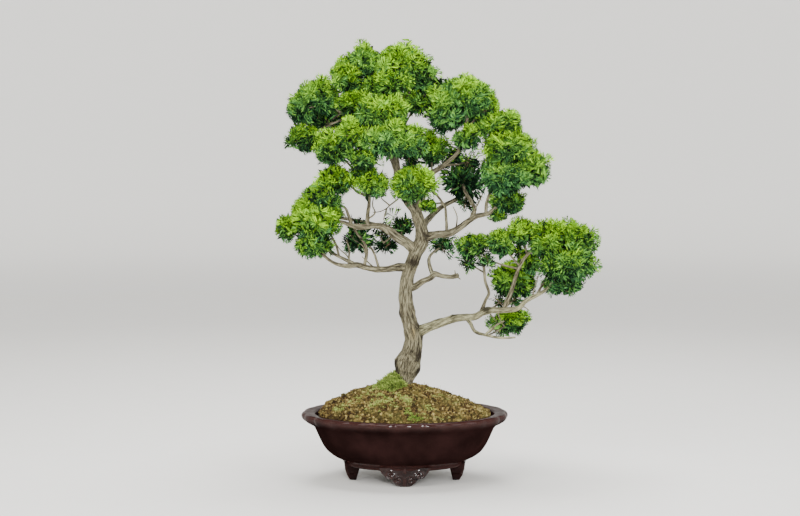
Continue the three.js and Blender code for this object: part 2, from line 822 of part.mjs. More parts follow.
// Rings from a profile of [half-width, height, crease]; inset pulls each ring in all round
function potRings(profile, count, inset) {
  return profile.map(([halfWidth, height, crease = 0]) =>
    ovalRing(halfWidth - inset, halfWidth * POT_DEPTH_RATIO - inset, height, count, crease),
  );
}

// An extruded ogee bracket, standing on its narrow flat underside, its outer face towards -Y
function makeFoot() {
  const right = FOOT_OUTLINE.map(([x, z]) => new THREE.Vector2(x, z));
  const left = FOOT_OUTLINE.map(([x, z]) => new THREE.Vector2(-x, z)).reverse();
  const outline = new THREE.Shape([...right, ...left]);
  const foot = new THREE.ExtrudeGeometry(outline, { depth: FOOT_THICKNESS, bevelEnabled: false });
  foot.rotateX(Math.PI / 2);
  foot.translate(0, FOOT_THICKNESS, 0);
  return foot;
}

function makePot() {
  const block = loft(potRings(POT_OUTSIDE, POT_LOBES * POINTS_PER_LOBE, 0));
  const hollow = loft(potRings([...POT_INSIDE, POT_OPENING], INSIDE_POINTS, 0));
  const [underside] = POT_OUTSIDE[0];
  const ends = [0, Math.PI].map((turn) => {
    const foot = makeFoot();
    foot.scale(END_FOOT_SHARE, 1, 1);
    foot.translate(0, FOOT_INSET - underside, 0);
    foot.rotateZ(turn + Math.PI / 2);
    return toSolid(foot);
  });
  const sides = [0, Math.PI].map((turn) => {
    const foot = makeFoot();
    foot.translate(0, FOOT_INSET - underside * POT_DEPTH_RATIO, 0);
    foot.rotateZ(turn);
    return toSolid(foot);
  });
  const drains = [-DRAIN_OFFSET, DRAIN_OFFSET].map((x) => {
    const drain = new THREE.CylinderGeometry(DRAIN_RADIUS, DRAIN_RADIUS, 2 * FLOOR_TOP, DRAIN_SIDES);
    drain.rotateX(Math.PI / 2);
    drain.translate(x, 0, FLOOR_TOP);
    return toSolid(drain);
  });
  const body = wasm.Manifold.union([block, ...ends, ...sides]);
  return body.subtract(wasm.Manifold.union([hollow, ...drains]));
}

// A block by its size and middle
function makeBlock(size, middle) {
  const block = new THREE.BoxGeometry(...size);
  block.translate(...middle);
  return toSolid(block);
}

// The flat space that a drain screen takes up over its hole, widened by grow
function screenPlate(x, grow) {
  const side = SCREEN_SIZE + 2 * grow;
  const thickness = SCREEN_THICKNESS + 2 * grow;
  const height = FLOOR_TOP + GAP + SCREEN_THICKNESS / 2;
  return makeBlock([side, side, thickness], [x, 0, height]);
}

// A square plate with rows of square openings
function makeScreen(x) {
  const openings = [];
  const middle = (SCREEN_OPENINGS - 1) / 2;
  for (let i = 0; i < SCREEN_OPENINGS; i++) {
    for (let j = 0; j < SCREEN_OPENINGS; j++) {
      const place = [x + (i - middle) * SCREEN_PITCH, (j - middle) * SCREEN_PITCH, FLOOR_TOP];
      openings.push(makeBlock([SCREEN_OPENING, SCREEN_OPENING, 4 * SCREEN_THICKNESS], place));
    }
  }
  return screenPlate(x, 0).subtract(wasm.Manifold.union(openings));
}

// ---- Soil ----

// The mound's height at a share of the way from its top (0) to the pot's wall (1)
function moundHeight(share) {
  const rise = MOUND_HEIGHT - SOIL_EDGE_HEIGHT;
  return SOIL_EDGE_HEIGHT + rise * ((1 - MOUND_CROWN) * (1 - share) + MOUND_CROWN * (1 - share ** 4));
}

// A solid that fills the pot just clear of its wall, heaped up towards the trunk
function makeSoil() {
  seededRandom(31);
  const [[floor], ...sides] = POT_INSIDE;
  const profile = [[floor, FLOOR_TOP + GAP], ...sides.slice(0, -1), SOIL_EDGE];
  const walls = potRings(profile, INSIDE_POINTS, 2 * GAP);
  const edge = walls.at(-1);
  const top = new THREE.Vector3(...MOUND_AT, 0);
  const heaps = MOUND_RINGS.map((share) =>
    edge.map((point) => {
      const heap = top.clone().lerp(point, share);
      heap.z = moundHeight(share) + SOIL_ROUGHNESS * jitter();
      return heap;
    }),
  );
  const mound = loft([...walls, ...heaps]);
  const screens = [-DRAIN_OFFSET, DRAIN_OFFSET].map((x) => screenPlate(x, GAP));
  const { route, sides: faces } = BRANCHES.trunk;
  const stump = loft(woodRings(route, faces, GAP, BARK_WAVER));
  return mound.subtract(wasm.Manifold.union([stump, ...screens]));
}

// ---- The whole object ----

const bonsai = new THREE.Group();
const holes = makeHoles();

bonsai.add(toMesh("wood", makeWood(), { color: "#7d7263", roughness: 0.9, metalness: 0 }));
bonsai.add(toMesh("pot", makePot(), { color: "#2c1115", roughness: 0.28, metalness: 0 }));
bonsai.add(toMesh("soil", makeSoil(), { color: "#4d3a28", roughness: 1, metalness: 0 }));
for (const [name, x] of [["drain_screen_left", -DRAIN_OFFSET], ["drain_screen_right", DRAIN_OFFSET]]) {
  bonsai.add(toMesh(name, makeScreen(x), { color: "#22231f", roughness: 0.6, metalness: 0 }));
}
Object.keys(CLUMPS).forEach((name, order) => {
  const look = { color: CLUMPS[name].tint, roughness: 0.75, metalness: 0 };
  bonsai.add(toMesh(`foliage_${name}`, makeClump(name, order, holes), look));
});

// Origin: the middle of the footprint box, on the surface the pot stands on
const box = new THREE.Box3().setFromObject(bonsai);
const centre = box.getCenter(new THREE.Vector3());
bonsai.position.set(-centre.x, -centre.y, -box.min.z);
const root = new THREE.Group();
root.name = "hinoki_bonsai";
root.add(bonsai);

export default root;
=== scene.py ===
from math import cos, pi, radians, sin

import bpy
import numpy as np
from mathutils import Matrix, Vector
from mathutils.geometry import tessellate_polygon


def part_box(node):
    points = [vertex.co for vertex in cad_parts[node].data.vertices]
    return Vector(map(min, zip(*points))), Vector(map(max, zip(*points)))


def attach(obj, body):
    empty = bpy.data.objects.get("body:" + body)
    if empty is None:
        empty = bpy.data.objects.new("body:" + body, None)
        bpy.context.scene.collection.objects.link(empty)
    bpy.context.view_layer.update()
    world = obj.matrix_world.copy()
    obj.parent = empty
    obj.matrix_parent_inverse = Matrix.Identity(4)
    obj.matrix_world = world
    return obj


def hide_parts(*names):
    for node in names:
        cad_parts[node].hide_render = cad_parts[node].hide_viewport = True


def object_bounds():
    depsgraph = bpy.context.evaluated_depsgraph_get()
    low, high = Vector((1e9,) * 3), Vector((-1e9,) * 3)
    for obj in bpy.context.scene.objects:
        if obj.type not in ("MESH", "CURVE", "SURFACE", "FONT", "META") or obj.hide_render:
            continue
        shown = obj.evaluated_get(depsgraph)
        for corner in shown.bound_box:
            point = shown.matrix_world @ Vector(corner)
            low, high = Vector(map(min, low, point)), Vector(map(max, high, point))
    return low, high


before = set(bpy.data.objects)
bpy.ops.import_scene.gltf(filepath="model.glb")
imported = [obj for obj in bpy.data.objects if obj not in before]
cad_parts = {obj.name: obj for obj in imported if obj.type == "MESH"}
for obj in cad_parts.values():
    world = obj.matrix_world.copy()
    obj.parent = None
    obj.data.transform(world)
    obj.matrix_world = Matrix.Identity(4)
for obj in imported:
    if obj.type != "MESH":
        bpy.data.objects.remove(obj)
cad_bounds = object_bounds()

# ---- Pot ----
# An oval stoneware pot, thrown in a mould with twenty-four shallow lobes, a rolled rim and a band
# at the foot of its wall. Four bracket feet with cloud scrolls were pressed and luted on, and a
# glossy aubergine glaze covers it, thinner and redder where it ran off the edges.

POT_LOBES = 24
POINTS_PER_LOBE = 10
LOBE_TURN = 1 / 3  # of a lobe, from the pot's right end to the crease in front of it
CREASE_SHARPNESS, CREASE_BARE = 1.3, 0.12  # how narrow the creases are, and how much thinner glazed
POT_DEPTH_RATIO = 0.765
# Once round the wall's section: half-width, height, depth of the creases between the lobes, and how
# thin the glaze lies
POT_SECTION = [
    [67.5, 15, 0, 0.3], [72.4, 15, 0.2, 0.6], [74.2, 16.4, 0.3, 0.8], [75.4, 19.2, 0.3, 0.45],
    [76.9, 20.9, 0.3, 0.8], [78.7, 21.9, 0.3, 1], [80.6, 23, 0.4, 0.5], [85.6, 25.4, 0.5, 0.1],
    [90.2, 28.4, 0.5, 0], [94.7, 32.2, 0.5, 0], [98.9, 37.7, 0.5, 0], [102.3, 43.8, 0.5, 0],
    [105.2, 50.1, 0.5, 0], [107.9, 56.2, 0.5, 0.05], [110.2, 60.9, 0.6, 0.1], [113.4, 64.2, 0.8, 0.15],
    [118.4, 66.7, 1.2, 0.2], [122.9, 69.4, 1.7, 0.3], [125.4, 72.2, 2, 0.5], [126, 74.9, 2.1, 0.8],
    [125.2, 77.3, 2, 1], [123.2, 78.8, 1.6, 0.9], [120, 79, 1.1, 0.65], [115, 78.5, 0.6, 0.7],
    [111, 78, 0.3, 0.7], [109, 77, 0, 0.6], [108, 74.6, 0, 0.3], [106, 66, 0, 0.2], [99, 49, 0, 0.1],
    [89, 35, 0, 0.1], [79, 26.5, 0, 0.1], [71, 24, 0, 0.1],
]
SECTION_STEPS = 3
DRAIN_OFFSET = 36
# Down through a drain hole, from the underside: radius and height
DRAIN_SECTION = [[11, 15], [10.2, 15.5], [10, 16.5], [10, 22.5], [10.2, 23.5], [11, 24]]
DRAIN_POINTS, DRAIN_BARE = 48, 0.8
FOOT_DROP = 5  # how far the feet reach under the zero of these heights
# Half of a foot's outline: height and half-width
FOOT_OUTLINE = [
    [-5, 6.5], [-3, 9.6], [0, 13.6], [3.4, 15.6], [4.8, 18], [6.6, 22.6], [9, 25.4], [13, 28.5],
    [19, 31],
]
FOOT_THICKNESS = 14
FOOT_INSET = 3
FOOT_BULGE = 3
# How wide a foot is for that outline, how far its shoulders stand out, and how glossy it is
FRONT_FOOT, END_FOOT = (1, 0.5, 0.6), (0.8, 0, 0.1)
FOOT_COLUMNS, FOOT_ROWS = 76, 44
# Cloud scrolls in relief on a foot: across, height, reach, and how wide its coil is
FOOT_SCROLLS = [[7.4, 3.6, 6, 4.2], [18, 9.5, 7.5, 4.8]]
SCROLL_RELIEF = 1.3
SCROLL_STEM, STEM_BREAK = 2.6, 9  # half-width of the scrolls' stem, and the height where it stops
RAISED_EDGE = 1.6  # width of the raised line along a foot's outline
# A foot's shoulders, a flat facet each: places across and high, half-sizes, and the height they lean to
SHOULDER_AT, SHOULDER_SIZE, SHOULDER_TOP = (17, 9.5), (7.5, 4), 14
FOOT_LEAN = 6  # how far a foot's outer face leans in towards the ground
# How thin the glaze lies on a foot's face, how much thinner on its scrolls, and how thin at its back
FOOT_BARE, SCROLL_BARE, BACK_BARE = 0.1, 0.75, 0.3
UNDERSIDE = 73.5  # half-width of the pot's flat underside, which the feet stand under
# The coat over the wall shines more where the glaze is thin: gain, start and most
WALL_GLOSS, GLOSS_START, MOST_GLOSS = 0.55, 0.15, 0.34

pot_low, pot_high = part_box("pot")
POT_MIDDLE = (np.array(pot_low) + np.array(pot_high)) / 2
POT_MIDDLE[2] = pot_low[2] + FOOT_DROP / 1000


def to_frame(points):
    """Millimetres from the middle of the pot's footprint, as metres in the frame."""
    return np.asarray(points, float) / 1000 + POT_MIDDLE


def added(name, data):
    """A new object in the scene."""
    made = bpy.data.objects.new(name, data)
    bpy.context.scene.collection.objects.link(made)
    return made


def make_surface(name, points, faces, finish, smooth=True, **values):
    """An object of these points and faces, with named values on its points."""
    groups = faces if isinstance(faces, list) else [faces]
    corners = np.concatenate([group.ravel() for group in groups]).astype(np.int32)
    sizes = np.concatenate([np.full(len(group), group.shape[1]) for group in groups])
    mesh = bpy.data.meshes.new(name)
    mesh.vertices.add(len(points))
    mesh.vertices.foreach_set("co", to_frame(points).ravel().astype(np.float32))
    mesh.loops.add(len(corners))
    mesh.loops.foreach_set("vertex_index", corners)
    mesh.polygons.add(len(sizes))
    starts = np.concatenate([[0], np.cumsum(sizes)[:-1]]).astype(np.int32)
    mesh.polygons.foreach_set("loop_start", starts)
    mesh.polygons.foreach_set("use_smooth", np.full(len(sizes), smooth))
    mesh.update(calc_edges=True)
    for key, numbers in values.items():
        numbers = np.asarray(numbers, np.float32)
        kind, field = ("FLOAT", "value") if numbers.ndim == 1 else ("FLOAT_VECTOR", "vector")
        mesh.attributes.new(key, kind, "POINT").data.foreach_set(field, numbers.ravel())
    mesh.materials.append(finish.material)
    return added(name, mesh)


def make_piece(name, points, faces, finish, slot, smooth=True, **values):
    """A surface that is a piece of the object and rides on the root."""
    piece = make_surface(name, points, faces, finish, smooth, **values)
    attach(piece, "root")
    return piece


class Reading:
    """A shader socket's value, which sums and products can be written with."""

    def __init__(self, finish, socket):
        self.finish, self.socket = finish, socket

    def maths(self, operation, a, b):
        return self.finish.node("Math", {"operation": operation}, {0: a, 1: b})

    def __add__(self, other):
        return self.maths("ADD", self, other)

    def __sub__(self, other):
        return self.maths("SUBTRACT", self, other)

    def __rsub__(self, other):
        return self.maths("SUBTRACT", other, self)

    def __mul__(self, other):
        return self.maths("MULTIPLY", self, other)

    __radd__, __rmul__ = __add__, __mul__


class Finish:
    """A material and the nodes that drive its Principled shader."""

    def __init__(self, name, **plain):
        self.material = bpy.data.materials.new(name)
        self.material.use_nodes = True
        self.tree = self.material.node_tree
        self.shader = self.tree.nodes["Principled BSDF"]
        self.paint(**plain)

    def feed(self, socket, value):
        """Gives a socket a reading's link, a colour or a number."""
        if isinstance(value, Reading):
            self.tree.links.new(value.socket, socket)
        elif socket.type == "RGBA":
            socket.default_value = (*value, 1)
        else:
            socket.default_value = value

    def node(self, kind, settings, inputs, output=0):
        """A node of this kind, set up and fed, as a reading of one of its outputs."""
        node = self.tree.nodes.new("ShaderNode" + kind)
        for key, value in settings.items():
            if key == "stops":
                for _ in value[2:]:
                    node.color_ramp.elements.new(0.5)
                for element, (place, colour) in zip(node.color_ramp.elements, value):
                    element.position = place
                    element.color = (*colour, 1)
            else:
                setattr(node, key, value)
        for key, value in inputs.items():
            self.feed(node.inputs[key], value)
        return Reading(self, node.outputs[output])

    def own(self, key, output="Fac"):
        """A named value of the mesh's points."""
        return self.node("Attribute", {"attribute_name": key}, {}, output)

    def noise(self, size, detail=3, stretch=(1, 1, 1), at=None):
        """Noise whose marks are about this many millimetres across, narrower by stretch."""
        place = at or self.node("TexCoord", {}, {}, "Object")
        scaled = self.node("VectorMath", {"operation": "MULTIPLY"}, {0: place, 1: stretch})
        return self.node("TexNoise", {}, {"Vector": scaled, "Scale": 1000 / size, "Detail": detail}, 0)

    def mix(self, share, first, second):
        """One colour turning into another."""
        return self.node("Mix", {"data_type": "RGBA"}, {0: share, 6: first, 7: second}, 2)

    def steps(self, value, *stops):
        """A colour that runs through stops of place and colour."""
        return self.node("ValToRGB", {"stops": stops}, {0: value})

    def ramp(self, value, low, high):
        """0 under low, 1 over high."""
        return self.node("MapRange", {}, {"Value": value, 1: low, 2: high})

    def paint(self, **driven):
        """Feeds the shader's sockets, named with underscores for spaces."""
        for key, value in driven.items():
            self.feed(self.shader.inputs[key.replace("_", " ")], value)

    def bump(self, height, millimetres, strength=1.0):
        """Fine relief this many millimetres high, for the light alone."""
        inputs = {"Height": height, "Distance": millimetres / 1000, "Strength": strength}
        self.feed(self.shader.inputs["Normal"], self.node("Bump", {}, inputs))


def smooth_route(points, steps):
    """A smooth line through points, each a row of numbers whose first three are its place."""
    points = np.asarray(points, float)
    ends = np.vstack([2 * points[0] - points[1], points, 2 * points[-1] - points[-2]])
    made = []
    for before, start, end, after in zip(ends, ends[1:], ends[2:], ends[3:]):
        spans = ((before, start), (start, end), (end, after))
        first, here, last = [max(np.sqrt(np.linalg.norm((b - a)[:3])), 1e-4) for a, b in spans]
        leave = ((start - before) / first - (end - before) / (first + here) + (end - start) / here) * here
        arrive = ((end - start) / here - (after - start) / (here + last) + (after - end) / last) * here
        t = (np.arange(steps) / steps)[:, None]
        made.append(
            start
            + leave * t
            + (3 * (end - start) - 2 * leave - arrive) * t**2
            + (2 * (start - end) + leave + arrive) * t**3
        )
    return np.vstack([*made, points[-1:]])


def tube_faces(rings, sides, closed=True):
    """Four-cornered faces between rings of points, each ring anticlockwise seen from the last."""
    i = np.arange(sides if closed else sides - 1)
    j = (i + 1) % sides
    base = (np.arange(rings - 1) * sides)[:, None]
    return np.stack([base + i, base + j, base + sides + j, base + sides + i], 2).reshape(-1, 4)


def circle(count):
    """Points evenly spaced round a circle of radius 1."""
    turn = np.arange(count) / count * 2 * pi
    return np.column_stack([np.cos(turn), np.sin(turn)])


def lifted(flat, height):
    """Points across and deep, set at one height."""
    return np.column_stack([flat, np.full(len(flat), height)])


def oval(half_width, half_depth, count):
    """Points evenly spaced along an oval, and the ways straight out from them."""
    turn = np.linspace(0, 2 * pi, 1441)
    x, y = half_width * np.cos(turn), half_depth * np.sin(turn)
    run = np.concatenate([[0], np.cumsum(np.hypot(np.diff(x), np.diff(y)))])
    at = np.interp(np.arange(count) / count * run[-1], run, turn)
    out = np.stack([np.cos(at) / half_width, np.sin(at) / half_depth], 1)
    out /= np.linalg.norm(out, axis=1)[:, None]
    return np.stack([half_width * np.cos(at), half_depth * np.sin(at)], 1), out


def pot_wall():
    """The pot's body, turned along its section, with a floor between that two drain holes go through."""
    count = POT_LOBES * POINTS_PER_LOBE
    lobe = np.abs(np.sin(pi * (np.arange(count) / POINTS_PER_LOBE + LOBE_TURN)))
    section = smooth_route(POT_SECTION, SECTION_STEPS)
    points, thin = [], []
    for half_width, height, crease, bare in section:
        ring, out = oval(half_width, half_width * POT_DEPTH_RATIO, count)
        ring = ring - out * (max(crease, 0) * (1 - lobe) ** CREASE_SHARPNESS)[:, None]
        points.append(lifted(ring, height))
        thin.append(np.full(count, bare) + CREASE_BARE * (1 - lobe) * (crease > 0.4))
    faces = [tube_faces(len(section), count)]
    holes = []
    for across in (-DRAIN_OFFSET, DRAIN_OFFSET):
        holes.append(sum(len(ring) for ring in points))
        for radius, height in DRAIN_SECTION:
            points.append(lifted(radius * circle(DRAIN_POINTS) + [across, 0], height))
            thin.append(np.full(DRAIN_POINTS, DRAIN_BARE))
        faces.append(tube_faces(len(DRAIN_SECTION), DRAIN_POINTS)[:, ::-1] + holes[-1])
    points = np.vstack(points)
    last = [hole + (len(DRAIN_SECTION) - 1) * DRAIN_POINTS for hole in holes]
    sheets = []
    for rim, openings in ((0, holes), ((len(section) - 1) * count, last)):
        loops = [np.arange(rim, rim + count)] + [np.arange(hole, hole + DRAIN_POINTS) for hole in openings]
        order = np.concatenate(loops)
        cut = tessellate_polygon([[Vector(points[k]) for k in loop] for loop in loops])
        sheet = order[np.array(cut)]
        a, b, c = [points[sheet[:, k]] for k in range(3)]
        wrong = (np.cross(b - a, c - a)[:, 2] > 0) == (rim == 0)
        sheet[wrong] = sheet[wrong][:, ::-1]
        sheets.append(sheet)
    return points, np.vstack(faces), np.concatenate(thin), np.vstack(sheets)


def bracket_foot(share, shoulder_lift):
    """A foot's points, faces, sole and how thin its glaze is, its outer face towards -Y."""
    heights, widths = np.array(FOOT_OUTLINE, float).T
    z = np.linspace(heights[0], heights[-1], FOOT_ROWS)
    half = np.interp(z, heights, widths)
    u = np.linspace(-1, 1, FOOT_COLUMNS)
    x = u[None] * half[:, None]
    height = np.repeat(z[:, None], FOOT_COLUMNS, 1)
    swell = np.sqrt(1 - np.abs(u) ** 2.6)[None] * np.minimum(1, 0.4 + (z + FOOT_DROP) / 7)[:, None]
    relief = np.zeros_like(x)
    for scroll_x, scroll_z, reach, coil in FOOT_SCROLLS:
        dx, dz = np.abs(x) - scroll_x, height - scroll_z
        away = np.hypot(dx, dz)
        turns = away / coil - np.arctan2(dz, dx) / (2 * pi)
        ridge = (0.5 + 0.5 * np.cos(2 * pi * turns)) ** 0.8
        relief = np.maximum(relief, ridge * np.exp(-((away / reach) ** 4)))
    stem = np.exp(-((x / SCROLL_STEM) ** 2)) * (1 - np.exp(-((height - STEM_BREAK) ** 2) / 12))
    edge = (half[:, None] - np.abs(x)) / RAISED_EDGE
    relief = np.maximum(np.maximum(relief, stem), np.exp(-((edge - 1) ** 2) * 2))
    beside = (np.abs(x) - SHOULDER_AT[0]) / SHOULDER_SIZE[0]
    above = (height - SHOULDER_AT[1]) / SHOULDER_SIZE[1]
    shoulder = np.exp(-(beside**6) - above**6) * (SHOULDER_TOP - height)
    fade = np.minimum(1, (1 - np.abs(u)) * 9)
    y = -FOOT_BULGE * swell - shoulder_lift * shoulder - SCROLL_RELIEF * relief * fade[None]
    y += FOOT_LEAN * ((heights[-1] - z) / np.ptp(heights))[:, None] ** 1.3
    front = np.stack([x * share, y, height], 2).reshape(-1, 3)
    inner = FOOT_THICKNESS + 0.25 * (z - heights.mean())
    backs = [np.column_stack([side * half * share, inner, z]) for side in (-1, 1)]
    left = np.arange(FOOT_ROWS) * FOOT_COLUMNS
    right = left + FOOT_COLUMNS - 1
    left_back = FOOT_ROWS * FOOT_COLUMNS + np.arange(FOOT_ROWS)
    right_back = left_back + FOOT_ROWS
    columns = [[left_back, left], [right, right_back], [right_back, left_back]]
    sides = [np.stack([a[:-1], b[:-1], b[1:], a[1:]], 1) for a, b in columns]
    faces = np.vstack([tube_faces(FOOT_ROWS, FOOT_COLUMNS, closed=False), *sides])
    under = np.array([[right_back[0], *range(FOOT_COLUMNS - 1, -1, -1), left_back[0]]])
    thin = np.concatenate([FOOT_BARE + SCROLL_BARE * relief.ravel(), np.full(2 * FOOT_ROWS, BACK_BARE)])
    return np.vstack([front, *backs]), faces, under, thin


def turned(points, angle):
    """Points turned about the upright axis."""
    c, s = cos(angle), sin(angle)
    return points @ np.array([[c, s, 0], [-s, c, 0], [0, 0, 1]])


glaze = Finish("aubergine_glaze", Specular_IOR_Level=0, Coat_Roughness=0.05)
thin = glaze.own("thin")
cloud = glaze.noise(38, 3)
blotch = glaze.noise(9, 4)
speck = glaze.noise(0.9, 2)
deep = glaze.mix(glaze.ramp(cloud, 0.35, 0.65), (0.009, 0.0041, 0.0038), (0.018, 0.0078, 0.0072))
worn = glaze.mix(glaze.ramp(speck, 0.45, 0.62) * 0.5, (0.026, 0.0075, 0.0065), (0.07, 0.03, 0.024))
share = glaze.ramp(thin + blotch * 0.6 - 0.3, 0.3, 1.2)
glaze.paint(
    Base_Color=glaze.mix(share, deep, worn),
    Roughness=0.2 + glaze.ramp(speck, 0.3, 0.7) * 0.1,
    Coat_Weight=glaze.own("wet") * (0.75 + blotch * 0.5),
)
glaze.bump(blotch * 0.6 + speck * 0.12, 0.35)

pot_points, pot_faces, pot_thin, floor_faces = pot_wall()
pot_wet = np.clip(pot_thin * WALL_GLOSS - GLOSS_START, 0, MOST_GLOSS)
soles = []
for turn in range(4):
    foot_share, lift, gloss = END_FOOT if turn % 2 else FRONT_FOOT
    points, faces, under, thin_glaze = bracket_foot(foot_share, lift)
    reach = UNDERSIDE * (1 if turn % 2 else POT_DEPTH_RATIO)
    pot_faces = np.vstack([pot_faces, faces + len(pot_points)])
    soles.append(under + len(pot_points))
    pot_points = np.vstack([pot_points, turned(points + [0, FOOT_INSET - reach, 0], turn * pi / 2)])
    pot_thin = np.concatenate([pot_thin, thin_glaze])
    pot_wet = np.concatenate([pot_wet, np.full(len(points), gloss)])
pot = make_piece(
    "glazed_pot",
    pot_points,
    [pot_faces, floor_faces, np.vstack(soles)],
    glaze,
    "glaze",
    thin=pot_thin,
    wet=pot_wet,
)
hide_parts("pot")

# ---- Drain screens ----
# Two squares of black plastic mesh lie loose over the drain holes under the soil and keep it in.
# They are moulded in one piece and show only from below, so the solids keep their own shape.

mesh_plastic = Finish("screen_plastic", Specular_IOR_Level=0.35)
streak = mesh_plastic.noise(3, 2, (1, 6, 1))
mesh_plastic.paint(
    Base_Color=mesh_plastic.mix(streak, (0.012, 0.013, 0.011), (0.03, 0.031, 0.027)),
    Roughness=0.5 + streak * 0.25,
)
mesh_plastic.bump(streak, 0.1)
for node in ("drain_screen_left", "drain_screen_right"):
    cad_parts[node].data.materials.clear()
    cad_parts[node].data.materials.append(mesh_plastic.material)

# ---- Soil ----
# Fired clay grains, heaped against the trunk and watered into one mound that fills the pot. The
# grains on top are loose, from crumbs to lumps, some still dry and tan, most of them wet and dark.

SOIL_EDGE = [106, 106 * POT_DEPTH_RATIO, 75]  # half-width, half-depth and height at the pot's wall
MOUND_HEIGHT, MOUND_CROWN = 115, 0.22  # at its middle, and how rounded it is
MOUND_HUMP = 5  # how much higher the mound is heaped on its left
HUMP_START, HUMP_RUN = 15, 25  # how far left that starts, and over what width it grows
MOUND_AT = np.array([-1.0, 6.0])
SOIL_BODY = [[73, 24.3], [89, 35], [99, 49]]  # down in the pot: half-width and height
POT_GAP = 0.7  # between the soil and the pot's wall
RING_POINTS, MOUND_RINGS = 96, 30
GRAINS = 9600
GRAIN_SIZES = (0.6, 1.6)
LARGE_SHARE, LARGE_GROWTH = 0.06, 1.5  # a few grains are larger by this much
GRAIN_SETTLING = (-0.9, 0.75)  # how deep and how high the grains lie, for their size
CORNER_REACH, CORNER_JITTER = 0.78, 0.34  # of a grain's corners
EARTH_DRYNESS = 0.15  # of the mound under the grains
# Lumps of grains: middle across and deep, reach, height
LUMPS = [[-90, -8, 9, 5], [-76, -14, 7, 2.5], [40, 8, 9, 2], [66, 2, 8, 1.5], [-60, 10, 8, 2]]
dice = np.random.default_rng(5)


def mound_share(x, y):
    """How far out places on the mound lie, from 0 at its top to 1 at the pot's wall."""
    width, depth, _ = SOIL_EDGE
    dx, dy = x - MOUND_AT[0], y - MOUND_AT[1]
    a = (dx / width) ** 2 + (dy / depth) ** 2
    b = 2 * (MOUND_AT[0] * dx / width**2 + MOUND_AT[1] * dy / depth**2)
    c = (MOUND_AT[0] / width) ** 2 + (MOUND_AT[1] / depth) ** 2 - 1
    return 2 * a / np.maximum(-b + np.sqrt(b * b - 4 * a * c), 1e-9)


def mound_height(x, y):
    """The mound's height at places across and deep."""
    share = mound_share(x, y)
    rise = MOUND_HEIGHT - SOIL_EDGE[2]
    height = SOIL_EDGE[2] + rise * ((1 - MOUND_CROWN) * (1 - share) + MOUND_CROWN * (1 - share**4))
    height += MOUND_HUMP * np.clip((-HUMP_START - x) / HUMP_RUN, 0, 1) * (1 - share**14)
    for lump_x, lump_y, reach, lift in LUMPS:
        height += lift * np.exp(-((x - lump_x) ** 2 + (y - lump_y) ** 2) / reach**2)
    return height + 0.8 * np.sin(x / 5.3 + y / 9.1) * np.sin(y / 6.1 - x / 13) * (1 - share**8)


def scattered(count, most=0.985):
    """Random places on the mound: across, depth and height."""
    x = dice.uniform(-1, 1, 3 * count) * SOIL_EDGE[0]
    y = dice.uniform(-1, 1, 3 * count) * SOIL_EDGE[1]
    kept = np.flatnonzero(mound_share(x, y) < most)[:count]
    return np.column_stack([x[kept], y[kept], mound_height(x[kept], y[kept])])


def joined(parts):
    """Parts as one: each gives its points, a list of faces by kind, and values of its points."""
    points, faces, *values = zip(*parts)
    starts = np.cumsum([0, *map(len, points)])
    kinds = [np.vstack([group + start for group, start in zip(kind, starts)]) for kind in zip(*faces)]
    return np.vstack(points), kinds, *map(np.concatenate, values)


def rough_blocks(places, sizes):
    """A crumb with eight jittered corners at each place."""
    square = ((-1, -1), (1, -1), (1, 1), (-1, 1))
    cube = np.array([[x, y, z] for z in (-1, 1) for x, y in square], float)
    quads = np.array([[0, 3, 2, 1], [4, 5, 6, 7], [0, 1, 5, 4], [1, 2, 6, 5], [2, 3, 7, 6], [3, 0, 4, 7]])
    jitter = dice.uniform(-CORNER_JITTER, CORNER_JITTER, (len(places), 8, 3))
    corners = cube * CORNER_REACH + jitter
    spin = dice.normal(size=(len(places), 3, 3))
    spin, _ = np.linalg.qr(spin)
    spin *= np.sign(np.linalg.det(spin))[:, None, None]
    corners = np.einsum("nij,nkj->nki", spin, corners) * sizes[:, None, None]
    faces = quads[None] + 8 * np.arange(len(places))[:, None, None]
    return (corners + places[:, None]).reshape(-1, 3), [faces.reshape(-1, 4)]


edge, _ = oval(SOIL_EDGE[0] - POT_GAP, SOIL_EDGE[1] - POT_GAP, RING_POINTS)
rings = []
for half_width, height in [[2, SOIL_BODY[0][1]], *SOIL_BODY]:
    ring, _ = oval(half_width - POT_GAP, half_width * POT_DEPTH_RATIO - POT_GAP, RING_POINTS)
    rings.append(lifted(ring, height))
for share in np.linspace(1, 0.02, MOUND_RINGS):
    ring = MOUND_AT + (edge - MOUND_AT) * share
    lift = mound_height(*ring.T) - 1 + dice.uniform(-0.5, 0.5, RING_POINTS)
    rings.append(np.column_stack([ring, lift]))
earth_dryness = np.full(len(rings) * RING_POINTS, EARTH_DRYNESS)
earth = np.vstack(rings), [tube_faces(len(rings), RING_POINTS)], earth_dryness
places = scattered(GRAINS)
sizes = dice.uniform(*GRAIN_SIZES, len(places))
sizes *= np.where(dice.random(len(places)) < LARGE_SHARE, LARGE_GROWTH, 1)
places[:, 2] += dice.uniform(*GRAIN_SETTLING, len(places)) * sizes
grains = *rough_blocks(places, sizes), np.repeat(dice.random(len(places)) ** 1.4, 8)
points, faces, dryness = joined([earth, grains])

